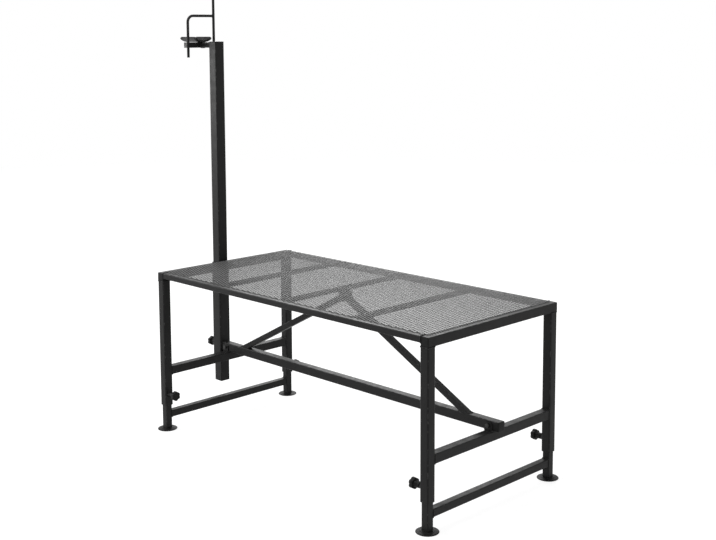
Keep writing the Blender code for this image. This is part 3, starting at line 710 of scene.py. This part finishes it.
def facing(origin, axis):
    """A frame at a point whose local Z looks along a signed axis such as -X."""
    direction = Vector([(-1 if axis[0] == "-" else 1) * (letter == axis[1])
                        for letter in "XYZ"])
    turn = UP.rotation_difference(direction)
    return Matrix.Translation(Vector(origin)) @ turn.to_matrix().to_4x4()


def welded_nut(work, origin, axis):
    """A clamp's nut, and the small bead that holds it on its tube."""
    place = facing(origin, axis)
    hexagon(work, CLAMP_NUT_FLATS, CLAMP_NUT_HEIGHT, place, CLAMP_BORE)
    ring = round_ring(CLAMP_NUT_FLATS * NUT_BEAD_SIZE, place, 0.0002, count=24)
    weld(work, [point for point, _ in ring], place.to_3x3() @ UP, True, NUT_BEAD)


def middle_of(node):
    low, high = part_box(node)
    return (low + high) / 2


for end, inward in zip(ENDS, (1, -1)):
    for side in SIDES:
        node = "outer_leg_" + end + "_" + side
        low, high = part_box(node)
        centre = middle_of("inner_leg_" + end + "_" + side)
        width = high.y - low.y
        work = bmesh.new()
        hollow_tube(work, width, width, LEG_WALL, high.z - low.z, along("Z", centre, low.z))
        weld_round(work, along("Z", centre, high.z), width, width, 2 * LEG_WALL)
        knob_z = middle_of("leg_knob_" + end + "_" + side).z
        welded_nut(work, (centre.x + inward * width / 2, centre.y, knob_z),
                   "+X" if inward > 0 else "-X")
        steel(work, node)
print("outer legs: 4, each", round(high.z - low.z, 3), "m long")

# %% Inner legs and cross rails
for end in ENDS:
    for side in SIDES:
        coated_tube("inner_leg_" + end + "_" + side, "Z")
    coated_tube("mid_rail_" + end, "Y", beads=2)
    coated_tube("low_rail_" + end, "Y", beads=2)
print("inner legs: 4, cross rails: 4")

# %% [markdown]
# ## Feet
#
# Each inner leg stands on a moulded foot: a flat round flange with a plug that is pressed up into
# the tube, and shallow grooves below that keep it from skating. A bevelled cylinder would come
# close, but a foot's mould is turned from a profile, so the foot is a stack of rings.

# %% Feet
FOOT_GROOVES = (0.0285, 0.0240, 0.0195, 0.0150, 0.0105)


def moulded_foot(node):
    low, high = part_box(node)
    radius = (high.x - low.x) / 2
    plug_top = high.z - low.z
    profile = [  # radius, height, wear
        (0.0020, plug_top, 0.0), (0.0085, plug_top, 0.0), (0.0100, plug_top - 0.0015, 0.0),
        (0.0100, 0.0053, 0.0), (0.0208, 0.0052, 0.1), (0.0215, 0.0049, 0.3),
        (0.0220, 0.0043, 0.2), (0.0275, 0.0036, 0.1), (radius - 0.0024, 0.0031, 0.3),
        (radius - 0.0010, 0.0027, 0.9), (radius - 0.0002, 0.0020, 1.0),
        (radius, 0.0014, 0.8), (radius - 0.0003, 0.0006, 0.6), (radius - 0.0012, 0.0001, 0.4),
    ]
    for groove in FOOT_GROOVES:
        profile += [(groove + 0.0014, 0.0, 0.3), (groove + 0.0009, 0.0009, 0.0),
                    (groove - 0.0009, 0.0009, 0.0), (groove - 0.0014, 0.0, 0.3)]
    profile.append((0.0030, 0.0, 0.2))
    place = along("Z", (low + high) / 2, low.z)
    work = bmesh.new()
    skin(work, [round_ring(r, place, z, wear) for r, z, wear in profile])
    moulding(work, node)


for end in ENDS:
    for side in SIDES:
        moulded_foot("foot_" + end + "_" + side)
print("feet: 4")

# %% [markdown]
# ## Clamp knobs
#
# A lobed knob with a moulded-in threaded stud presses on the inner tube. The lobes could be cut
# with six cylinders, as in the CAD model. Here the radius of each ring swells and shrinks with the
# angle, which gives rounded lobes with soft edges, and a shallow cap is set in the face.

# %% Knob and stud helpers
KNOB_LOBES = 6
KNOB_LOBE_DEPTH = 0.155
KNOB_HUB_SIZE = 0.62
KNOB_CAP_SIZE = 0.56
STUD_PLAY = 0.0002
STUD_INSIDE = 0.004
KNOB_HEAD = (  # radius and height as shares of the head's, depth of the lobes, wear
    (0.84, 0.0, 0.35, 0.1), (0.93, 0.03, 0.75, 0.4), (0.985, 0.10, 1.0, 0.8),
    (1.0, 0.22, 1.0, 0.5), (1.0, 0.70, 1.0, 0.5), (0.985, 0.83, 1.0, 0.8),
    (0.94, 0.93, 0.95, 1.0), (0.86, 0.985, 0.75, 0.8), (0.72, 1.0, 0.30, 0.2),
)
KNOB_CAP = (  # radius as a share of the cap's, depth below the face, wear
    (1.03, 0, 0.1), (1.0, 0.0007, 0.0), (0.95, 0.0007, 0.0), (0.92, 0.0002, 0.5),
    (0.50, 0, 0.1), (0.15, 0, 0.1),
)


def lobed_ring(radius, flute, place, height, wear, lobes=KNOB_LOBES):
    def radius_at(angle):
        return radius - flute * ((1 - math.cos(lobes * angle)) / 2) ** 1.6
    return turned_ring(radius_at, place, height, wear, 96)


def knob_rings(place, radius, head, reach, hub_base, stud):
    """Rings of a knob from the hub's seat to the middle of its cap."""
    neck = reach - head
    hub, cap = radius * KNOB_HUB_SIZE, radius * KNOB_CAP_SIZE
    rows = [
        (stud, hub_base, 0.0, 0.0), (hub * 0.80, hub_base, 0.0, 0.3),
        (hub * 0.85, hub_base + 0.0005, 0.0, 0.6), (hub * 0.98, neck - head * 0.10, 0.0, 0.1),
        (hub * 1.08, neck - head * 0.01, 0.0, 0.0),
    ]
    rows += [(radius * r, neck + head * z, share, wear) for r, z, share, wear in KNOB_HEAD]
    rows += [(cap * r, reach - depth, 0.0, wear) for r, depth, wear in KNOB_CAP]
    return [lobed_ring(r, radius * KNOB_LOBE_DEPTH * share, place, z, wear)
            for r, z, share, wear in rows]


def threaded_bar(work, radius, pitch, place, low, high):
    """A bar whose radius follows a helix; the thread runs out at both ends."""
    count = max(8, round((high - low) / (pitch / 6)))
    rings = []
    for row in range(count + 1):
        height = low + (high - low) * row / count
        run_out = min(1.0, 4 * min(row, count - row) / count + 0.15)

        def radius_at(angle):
            phase = (height / pitch - angle / math.tau) % 1.0
            return radius - abs(2 * phase - 1) * pitch * 0.5 * run_out

        rings.append(turned_ring(radius_at, place, height, 0.2, 24))
    skin(work, rings)


def hand_knob(node, axis, head, tip_depth, stud, pitch):
    """A knob and its stud in a node's box; the hub starts tip_depth from the stud's tip."""
    low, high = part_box(node)
    centre = (low + high) / 2
    tip_x = low.x if axis == "+X" else high.x
    place = facing((tip_x, centre.y, centre.z), axis)
    work = bmesh.new()
    skin(work, knob_rings(place, (high.z - low.z) / 2, head, high.x - low.x, tip_depth,
                          stud + STUD_PLAY))
    moulding(work, node)
    work = bmesh.new()
    threaded_bar(work, stud, pitch, place, 0.0, tip_depth + STUD_INSIDE)
    hand_over(work, "plated_stud_" + node, node, "black_zinc", stands_for=False)


# %% Clamp knobs on the legs and the sleeve
CLAMP_HEAD = 0.015
CLAMP_STUD = 0.0045
CLAMP_PITCH = 0.00125
CLAMP_REACH = 0.044
CLAMP_GAP = 0.002


def clamp_knob(node, axis):
    low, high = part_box(node)
    inside_tube = (high.x - low.x) - CLAMP_REACH
    hand_knob(node, axis, CLAMP_HEAD, inside_tube + CLAMP_NUT_HEIGHT + CLAMP_GAP,
              CLAMP_STUD, CLAMP_PITCH)


for side in SIDES:
    clamp_knob("leg_knob_head_" + side, "+X")
    clamp_knob("leg_knob_tail_" + side, "-X")
clamp_knob("post_knob", "-X")
print("clamp knobs: 5")

# %% [markdown]
# ## Stretcher, saddles and braces
#
# One long tube runs under the deck from the post's sleeve to past the tail rail, in a saddle on
# each mid rail. Two braces rise from it to a bracket under the middle of the deck. These channels
# could be cut from a block, but sheet bends round a small radius, so a bent line is swept instead.

# %% Bent sheet helper
SHEET = 0.003
SHEET_EDGE = 0.0004
SHEET_BEND = 0.0015
SHEET_BEAD = 0.0018


def sheet_ring(point, normal, thickness, low, high, place):
    """A rectangle across a sheet: from point along normal, and from low to high on local Z."""
    edge = SHEET_EDGE
    outline = ((edge, low), (thickness - edge, low), (thickness, low + edge),
               (thickness, high - edge), (thickness - edge, high), (edge, high),
               (0, high - edge), (0, low + edge))
    return [(place @ Vector((*(point + normal * out), height)), 0.85) for out, height in outline]


def trimmed(corner, from_end):
    """How far a rounded corner draws a sheet's side in, near the sheet's end."""
    missing = max(0.0, corner - from_end)
    return corner - math.sqrt(corner ** 2 - missing ** 2)


def channel(work, box_size, place, corner):
    """A bent channel about local Z, open towards local +Y, its sheet's corners rounded."""
    length, width, depth = box_size
    half = width / 2 - SHEET
    path = []
    for step in range(9):
        height = depth - (depth - SHEET - SHEET_BEND) * step / 8
        path.append((Vector((-half, height)), Vector((-1, 0)), depth - height))
    for step in range(1, 7):
        angle = math.radians(180 + 90 * step / 6)
        normal = Vector((math.cos(angle), math.sin(angle)))
        centre = Vector((-half + SHEET_BEND, SHEET + SHEET_BEND))
        path.append((centre + normal * SHEET_BEND, normal, 1.0))
    path += [(Vector((-p.x, p.y)), Vector((-n.x, n.y)), rest) for p, n, rest in reversed(path)]
    rings = []
    for point, normal, from_end in path:
        reach = length / 2 - trimmed(corner, from_end)
        rings.append(sheet_ring(point, normal, SHEET, -reach, reach, place))
    skin(work, rings)


def weld_straight(work, start, end):
    """A small level bead from one point to another, as along a sheet's edge."""
    weld(work, [Vector(start), Vector(end)], UP, radius=SHEET_BEAD)


# %% Stretcher and its saddles
SADDLE_CORNER = 0.005

coated_tube("stretcher", "X", beads=1)
stretcher_low, stretcher_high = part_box("stretcher")
for end in ENDS:
    node = "stretcher_saddle_" + end
    low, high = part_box(node)
    work = bmesh.new()
    channel(work, high - low, along("X", (0, 0, low.z), (low.x + high.x) / 2), SADDLE_CORNER)
    for toe_y in (low.y, high.y):
        weld_straight(work, (low.x + 0.002, toe_y, low.z), (high.x - 0.002, toe_y, low.z))
    steel(work, node)
print("stretcher:", round(stretcher_high.x - stretcher_low.x, 3), "m long, saddles: 2")

# %% [markdown]
# The braces lean at the same angle to either side. Their lower ends are sawn level so that they
# stand flat on the stretcher, and their upper ends are sawn square inside the bracket. The level
# cut could be a boolean, but sliding a ring's points along the tube keeps the mesh clean.

# %% Braces
BRACE_PEAK_DROP = 0.020
BRACE_FOOT_SETBACK = 0.1005
BRACE_END_GAP = 0.001
JOINT_GAP = 0.0003
BRACE_BEAD = 0.0020


def slide_to_plane(ring, direction, point):
    """Move each point of a ring along the tube until it is level with a given point."""
    return [(position + direction * ((point.z - position.z) / direction.z), wear)
            for position, wear in ring]


brace_low, brace_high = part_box("brace_head")
brace_width = brace_high.y - brace_low.y
member_low, member_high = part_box("deck_cross_member_2")
peak = Vector(((member_low.x + member_high.x) / 2, 0, member_low.z - BRACE_PEAK_DROP))
seat = Vector((0, 0, stretcher_high.z + JOINT_GAP))
across = Vector((0, 1, 0))
for end, sign in zip(ENDS, (-1, 1)):
    node = "brace_" + end
    reach = abs(middle_of("inner_leg_" + end + "_near").x - peak.x) - BRACE_FOOT_SETBACK
    slope = math.atan2(peak.z - stretcher_high.z, reach)
    direction = Vector((sign * math.cos(slope), 0, -math.sin(slope)))
    place = Matrix((across, direction.cross(across), direction)).transposed().to_4x4()
    place.translation = peak
    start = brace_width / 2 * math.tan(slope) + BRACE_END_GAP
    sawn, full, outside, bore, bore_start = square_rings(
        place, brace_width, brace_width, 2 * RAIL_WALL,
        [(0, start, 1.0), (0, start + END_WEAR, None), (0, 0, None),
         (RAIL_WALL, 0, 0.3), (RAIL_WALL, start, 0.3)])
    foot = slide_to_plane(outside, direction, seat)
    work = bmesh.new()
    skin(work, [sawn, full, slide_to_plane(foot, direction, seat + UP * END_WEAR),
                [(position, 0.8) for position, _ in foot],
                slide_to_plane(bore, direction, seat), bore_start], loop=True)
    weld(work, [position for position, _ in foot], UP, True, BRACE_BEAD)
    steel(work, node)
print("braces:", round(math.degrees(slope), 1), "degrees from level")

# %% Bracket under the deck
BRACKET_CORNER = 0.009

low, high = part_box("brace_bracket")
place = along("X", (0, 0, high.z), (low.x + high.x) / 2) @ Matrix.Rotation(math.pi, 4, "X")
work = bmesh.new()
channel(work, high - low, place, BRACKET_CORNER)
for toe_x in (member_low.x, member_high.x):
    weld_straight(work, (toe_x, low.y + 0.003, high.z), (toe_x, high.y - 0.003, high.z))
steel(work, "brace_bracket")
print("bracket:", round(1000 * (high.x - low.x)), "mm long")

# %% [markdown]
# ## Bolts and nuts
#
# Four black zinc-plated hexagon bolts hold the saddles and the bracket. Each has a washer face
# under its head and a thread that shows past the nut. A nut could share its bolt's mesh, but each
# is a CAD node of its own.

# %% Bolts and nuts
BOLTS = {  # flats, radius and pitch
    "stretcher": (0.013, 0.0039, 0.00125),
    "brace": (0.010, 0.0030, 0.0010),
}
BOLT_HEAD_SIZE = 1.35
WASHER_FACE = 0.0004
WASHER_SIZE = 0.47


def bolt_and_nut(kind, end):
    flats, radius, pitch = BOLTS[kind]
    bolt_node, nut_node = kind + "_bolt_" + end, kind + "_nut_" + end
    low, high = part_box(bolt_node)
    nut_low, nut_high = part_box(nut_node)
    centre = (low + high) / 2
    head = radius * BOLT_HEAD_SIZE
    seat_y = low.y + head
    place = facing((centre.x, seat_y, centre.z), "-Y")
    work = bmesh.new()
    hexagon(work, flats, head - WASHER_FACE, place @ Matrix.Translation((0, 0, WASHER_FACE)))
    skin(work, [round_ring(flats * WASHER_SIZE, place, height) for height in (0.0, 0.0006)])
    skin(work, [round_ring(radius, place, height)
                for height in (0.0002, seat_y - nut_low.y + 0.0005)])
    threaded_bar(work, radius, pitch, place, seat_y - high.y, seat_y - nut_low.y + 0.001)
    hand_over(work, "plated_" + bolt_node, bolt_node, "black_zinc")
    work = bmesh.new()
    hexagon(work, flats, nut_high.y - nut_low.y, facing((centre.x, nut_low.y, centre.z), "+Y"),
            radius + 0.0003)
    hand_over(work, "plated_" + nut_node, nut_node, "black_zinc")


for end in ENDS:
    for kind in BOLTS:
        bolt_and_nut(kind, end)
print("bolts: 4, nuts: 4")

# %% [markdown]
# ## Sleeve and post
#
# Outside the head end a heavy sleeve is welded to the deck through a short plate, and to the
# stretcher below. The post slides in it, open at the bottom and plugged on top. A closed block
# would look the same from afar, but both are walled, because their open ends show from below.

# %% Sleeve, plate and post
SLEEVE_WALL = 0.003
PLATE_EDGE = 0.0006
PLATE_CORNER = 0.0015

low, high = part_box("post_sleeve")
post_x = middle_of("head_post").x
width = high.y - low.y
work = bmesh.new()
hollow_tube(work, width, width, SLEEVE_WALL, high.z - low.z, along("Z", (post_x, 0, 0), low.z))
welded_nut(work, (post_x - width / 2, 0, middle_of("post_knob").z), "-X")
steel(work, "post_sleeve")
print("sleeve:", round(high.z - low.z, 3), "m long")

low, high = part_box("sleeve_plate")
size = high - low
work = bmesh.new()
skin(work, square_rings(along("X", (low + high) / 2, low.x), size.y, size.z, PLATE_CORNER, [
    (PLATE_EDGE, 0, 0.4), (0, PLATE_EDGE, None),
    (0, size.x - PLATE_EDGE, None), (PLATE_EDGE, size.x, 0.4),
]))
for end_x in (low.x + JOINT_GAP, high.x - JOINT_GAP):
    weld_round(work, along("X", (low + high) / 2, end_x), size.y, size.z, PLATE_CORNER)
steel(work, "sleeve_plate")

coated_tube("head_post", "Z", POST_WALL)

# %% [markdown]
# ## Headpiece
#
# A short arm on the post carries a chin bar. On the bar lies a bent cradle with a ribbed rubber
# pad, and through the bar's two ends pass the legs of a round-bar nose loop. The legs could simply
# run into the bar, but the loop slides, so real holes are cut for them with a boolean.

# %% Arm and chin bar
LOOP_ROD = 0.005
LOOP_HOLE = 0.0058
DRILL_PAST = 0.01
ARM_WALL = 0.002
BAR_CORNER = 0.002
BAR_EDGE = 0.0006
loop_low, loop_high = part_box("nose_loop")
loop_reach = (loop_high.y - loop_low.y) / 2 - LOOP_ROD
bar_low, bar_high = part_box("chin_bar")
bar_middle = (bar_low + bar_high) / 2

coated_tube("head_arm", "X", ARM_WALL, beads=2)

size = bar_high - bar_low
work = bmesh.new()
skin(work, square_rings(along("Y", bar_middle, bar_low.y), size.z, size.x, BAR_CORNER,
                        worn_rows(BAR_EDGE, size.y)))
chin_bar = steel(work, "chin_bar")
work = bmesh.new()
for side in (-1, 1):
    hole = along("Z", (bar_middle.x, side * loop_reach, 0), bar_low.z - DRILL_PAST)
    skin(work, [round_ring(LOOP_HOLE, hole, height, 0.5, 32)
                for height in (0, size.z + 2 * DRILL_PAST)])
bmesh.ops.recalc_face_normals(work, faces=work.faces)
drill = as_object(work, "drill")
chin_bar.modifiers.clear()
cut = chin_bar.modifiers.new("drill", "BOOLEAN")
cut.operation = "DIFFERENCE"
cut.solver = "EXACT"
cut.object = drill
graph = bpy.context.evaluated_depsgraph_get()
bored = bpy.data.meshes.new_from_object(chin_bar.evaluated_get(graph))
chin_bar.modifiers.clear()
chin_bar.data = bored
shade_flats_flat(chin_bar)
bpy.data.objects.remove(drill, do_unlink=True)
print("chin bar:", len(bored.polygons), "faces after drilling")

# %% [markdown]
# The cradle is a plate with rounded corners, bent to the curve of a lower jaw, and the pad in it is
# a strip of ribbed rubber mat. Both could be modelled flat and bent by a modifier. Swept along one
# arc, they fit each other, and the ribs are only a thickness that goes up and down.

# %% Cradle and pad
CRADLE_HALF_ANGLE = math.radians(44)
CRADLE_RADIUS = 0.060
PAD_THICKNESS = 0.004
PAD_RIBS = 15
PAD_RIB_DEPTH = 0.0013
CRADLE_CORNER = 0.014
PAD_CORNER = 0.011
CRADLE_LIP = 0.0016
PAD_LIP = 0.0012
CRADLE_TOE = 0.0095


def arc_sheet(work, radius, thickness_at, low_x, high_x, centre_z, corner, steps):
    """A sheet bent about the X axis, lying under its centre; thickness is a function."""
    place = along("X", (0, 0, centre_z), 0)
    arc = radius * CRADLE_HALF_ANGLE
    rings = []
    for step in range(steps + 1):
        share = 2 * step / steps - 1
        angle = CRADLE_HALF_ANGLE * share
        from_end = arc * (1 - abs(share))
        trim = trimmed(corner, from_end)
        inward = Vector((-math.sin(angle), math.cos(angle)))
        point = Vector((radius * math.sin(angle), -radius * math.cos(angle)))
        rings.append(sheet_ring(point, inward, thickness_at(share, from_end),
                                low_x + trim, high_x - trim, place))
    skin(work, rings)


cradle_low, cradle_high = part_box("chin_cradle")
cradle_centre_z = cradle_low.z + CRADLE_RADIUS
work = bmesh.new()
arc_sheet(work, CRADLE_RADIUS, lambda share, from_end: min(SHEET, CRADLE_LIP + 2 * from_end),
          cradle_low.x, cradle_high.x, cradle_centre_z, CRADLE_CORNER, 96)
toe_z = cradle_centre_z - math.sqrt(CRADLE_RADIUS ** 2 - CRADLE_TOE ** 2) - 0.0006
for toe_y in (-CRADLE_TOE, CRADLE_TOE):
    weld_straight(work, (bar_low.x + 0.001, toe_y, toe_z), (bar_high.x - 0.001, toe_y, toe_z))
steel(work, "chin_cradle")

pad_low, pad_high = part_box("chin_pad")


def ribbed(share, from_end):
    rib = 0.5 - 0.5 * math.cos(math.pi * PAD_RIBS * (share + 1))
    full = PAD_THICKNESS - PAD_RIB_DEPTH * (1 - min(1.0, 1.6 * rib))
    return min(full, PAD_LIP + 0.8 * from_end)


work = bmesh.new()
arc_sheet(work, CRADLE_RADIUS - SHEET - JOINT_GAP, ribbed, pad_low.x, pad_high.x,
          cradle_centre_z, PAD_CORNER, 240)
chin_pad = hand_over(work, "rubber_chin_pad", "chin_pad", "rubber_pad")
print("cradle:", round(1000 * (cradle_high.x - cradle_low.x)), "mm long, pad ribs:", PAD_RIBS)

# %% [markdown]
# ## Nose loop
#
# The loop is one bent bar: a short leg, a quarter bend and a level top, welded to a long straight
# leg that is also the handle. A curve with a round bevel would do, but rings let the sawn ends be
# chamfered. A moulded cap covers the long leg's upper end.

# %% Nose loop and its cap
LOOP_CORNER = 0.024
LOOP_CLEAR_HEIGHT = 0.093
LOOP_SHORT_LEG_BELOW = 0.036
LOOP_BEAD = 0.0017
LOOP_BEAD_RING = 0.0052
LOOP_BEAD_SETBACK = 0.0042
ROD_CHAMFER = 0.0009


def round_bar(work, points, chamfers):
    """A round bar through points across X; chamfers lists the points of its sawn ends."""
    rings = []
    for index in range(len(points)):
        sawn = index in chamfers
        rings.append(rope_ring(points, index, False, Vector((1, 0, 0)),
                               LOOP_ROD - ROD_CHAMFER * sawn, 1.0 if sawn else 0.25, 24))
    skin(work, rings)


loop_x = (loop_low.x + loop_high.x) / 2
foot_z = bar_low.z - LOOP_SHORT_LEG_BELOW
loop_top_z = bar_high.z + LOOP_CLEAR_HEIGHT + LOOP_ROD
hook = [Vector((loop_x, -loop_reach, z)) for z in (foot_z, foot_z + ROD_CHAMFER)]
for step in range(17):
    angle = math.pi / 2 * step / 16
    hook.append(Vector((loop_x, -loop_reach + LOOP_CORNER * (1 - math.cos(angle)),
                        loop_top_z - LOOP_CORNER + LOOP_CORNER * math.sin(angle))))
hook.append(Vector((loop_x, loop_reach - 0.001, loop_top_z)))
handle = [Vector((loop_x, loop_reach, z)) for z in (
    loop_low.z, loop_low.z + ROD_CHAMFER, loop_high.z - ROD_CHAMFER, loop_high.z)]
work = bmesh.new()
round_bar(work, hook, (0,))
round_bar(work, handle, (0, 3))
joint = facing((loop_x, loop_reach - LOOP_BEAD_SETBACK, loop_top_z), "-Y")
weld(work, [point for point, _ in round_ring(LOOP_BEAD_RING, joint, 0, count=24)],
     Vector((0, 1, 0)), True, LOOP_BEAD)
steel(work, "nose_loop")

CAP_BORE = 0.0052
CAP_FLUTES = 12
CAP_FLUTE_DEPTH = 0.0006
CAP_ROWS = (  # radius and height as shares of the cap's, depth of the flutes, wear
    (0.74, 0.0, 0.0, 0.6), (0.78, 0.0273, 0.2, 0.8), (0.86, 0.35, 1.0, 0.2),
    (0.97, 0.72, 1.0, 0.2), (1.0, 0.82, 0.5, 0.4), (0.985, 0.88, 0.0, 0.8),
    (0.90, 0.95, 0.0, 0.9), (0.70, 0.99, 0.0, 0.5), (0.2, 1.0, 0.0, 0.2),
)
low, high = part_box("nose_loop_cap")
radius, height = (high.x - low.x) / 2, high.z - low.z
place = along("Z", (low + high) / 2, low.z)
work = bmesh.new()
skin(work, [lobed_ring(CAP_BORE, 0, place, 0, 0)]
     + [lobed_ring(radius * r, CAP_FLUTE_DEPTH * share, place, height * z, wear, CAP_FLUTES)
        for r, z, share, wear in CAP_ROWS])
moulding(work, "nose_loop_cap")
print("nose loop:", round(loop_high.z - loop_low.z, 3), "m high")

# %% Thumb screw
THUMB_HEAD = 0.009
THUMB_STUD = 0.003
THUMB_PITCH = 0.001
THUMB_REACH = 0.024
low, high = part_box("loop_thumb_screw")
hand_knob("loop_thumb_screw", "-X", THUMB_HEAD, (high.x - low.x) - THUMB_REACH + CLAMP_GAP,
          THUMB_STUD, THUMB_PITCH)
print("thumb screw: 1")

# %% [markdown]
# ## Floor, backdrop and light
#
# The photograph is a studio cut-out on white. A white room could be built round the stand, but a
# pale floor and an even sky do the same. The camera and glossy surfaces see the sky as pure white,
# while the light that falls on the stand stays lower and keeps its blacks deep.

# %% Floor
FLOOR_RADIUS = 9.0
FLOOR_GLOW = 0.79
FLOOR_SHADE = 0.30


def seen_directly(tree):
    """One for rays that show the backdrop itself: camera, glossy and transmission rays."""
    path = add_node(tree, "LightPath", {})
    total = path.outputs["Is Camera Ray"]
    for kind in ("Is Glossy Ray", "Is Transmission Ray"):
        larger = add_node(tree, "Math", {0: total, 1: path.outputs[kind]}, operation="MAXIMUM")
        total = larger.outputs["Value"]
    return total


work = bmesh.new()
bmesh.ops.create_circle(work, cap_ends=True, segments=96, radius=FLOOR_RADIUS)
floor = as_object(work, "floor")
floor.location.z = cad_low.z - 0.0005
floor_finish, tree, shader = start_finish("pale floor")
glow = add_node(tree, "Math", {0: seen_directly(tree), 1: FLOOR_GLOW}, operation="MULTIPLY")
feed(tree, shader, {
    "Base Color": (*grey(FLOOR_SHADE), 1),
    "Roughness": 0.9,
    "Emission Color": (1, 1, 1, 1),
    "Emission Strength": glow.outputs["Value"],
})
floor.data.materials.append(floor_finish)
print("floor:", round(2 * FLOOR_RADIUS), "m across")

# %% Sky and lamps
SKY = 0.55
world = bpy.data.worlds.new("studio")
bpy.context.scene.world = world
world.use_nodes = True
tree = world.node_tree
background = tree.nodes["Background"]
strength = add_node(tree, "MapRange", {"Value": seen_directly(tree), "To Min": SKY,
                                       "To Max": 1.0})
feed(tree, background, {"Color": (1, 1, 1, 1), "Strength": strength.outputs["Result"]})


def soft_lamp(name, place, target, size, watts):
    lamp_data = bpy.data.lights.new(name, "AREA")
    lamp_data.shape = "DISK"
    lamp_data.size = size
    lamp_data.energy = watts
    lamp = bpy.data.objects.new(name, lamp_data)
    lamp.location = place
    lamp.rotation_euler = (Vector(target) - Vector(place)).to_track_quat("-Z", "Y").to_euler()
    bpy.context.scene.collection.objects.link(lamp)


soft_lamp("overhead softbox", (-0.4, -1.0, 4.2), (0, 0, 0.6), 2.4, 90)
soft_lamp("side softbox", (-2.7, -1.7, 1.4), (-0.6, 0, 1.1), 1.2, 44)
soft_lamp("back softbox", (-3.2, 3.2, 2.6), (0, 0, 0.6), 2.4, 70)
bpy.context.scene.view_settings.view_transform = "Standard"
print("lamps: 3, sky:", SKY)

# %% [markdown]
# ## Count the pieces
#
# The dressed stand must fill the same box as the CAD model. Here its pieces and their faces are
# counted.

# %% Count the pieces and faces
print("pieces:", len(made_pieces), "faces:",
      sum(len(piece.data.polygons) for piece in made_pieces))
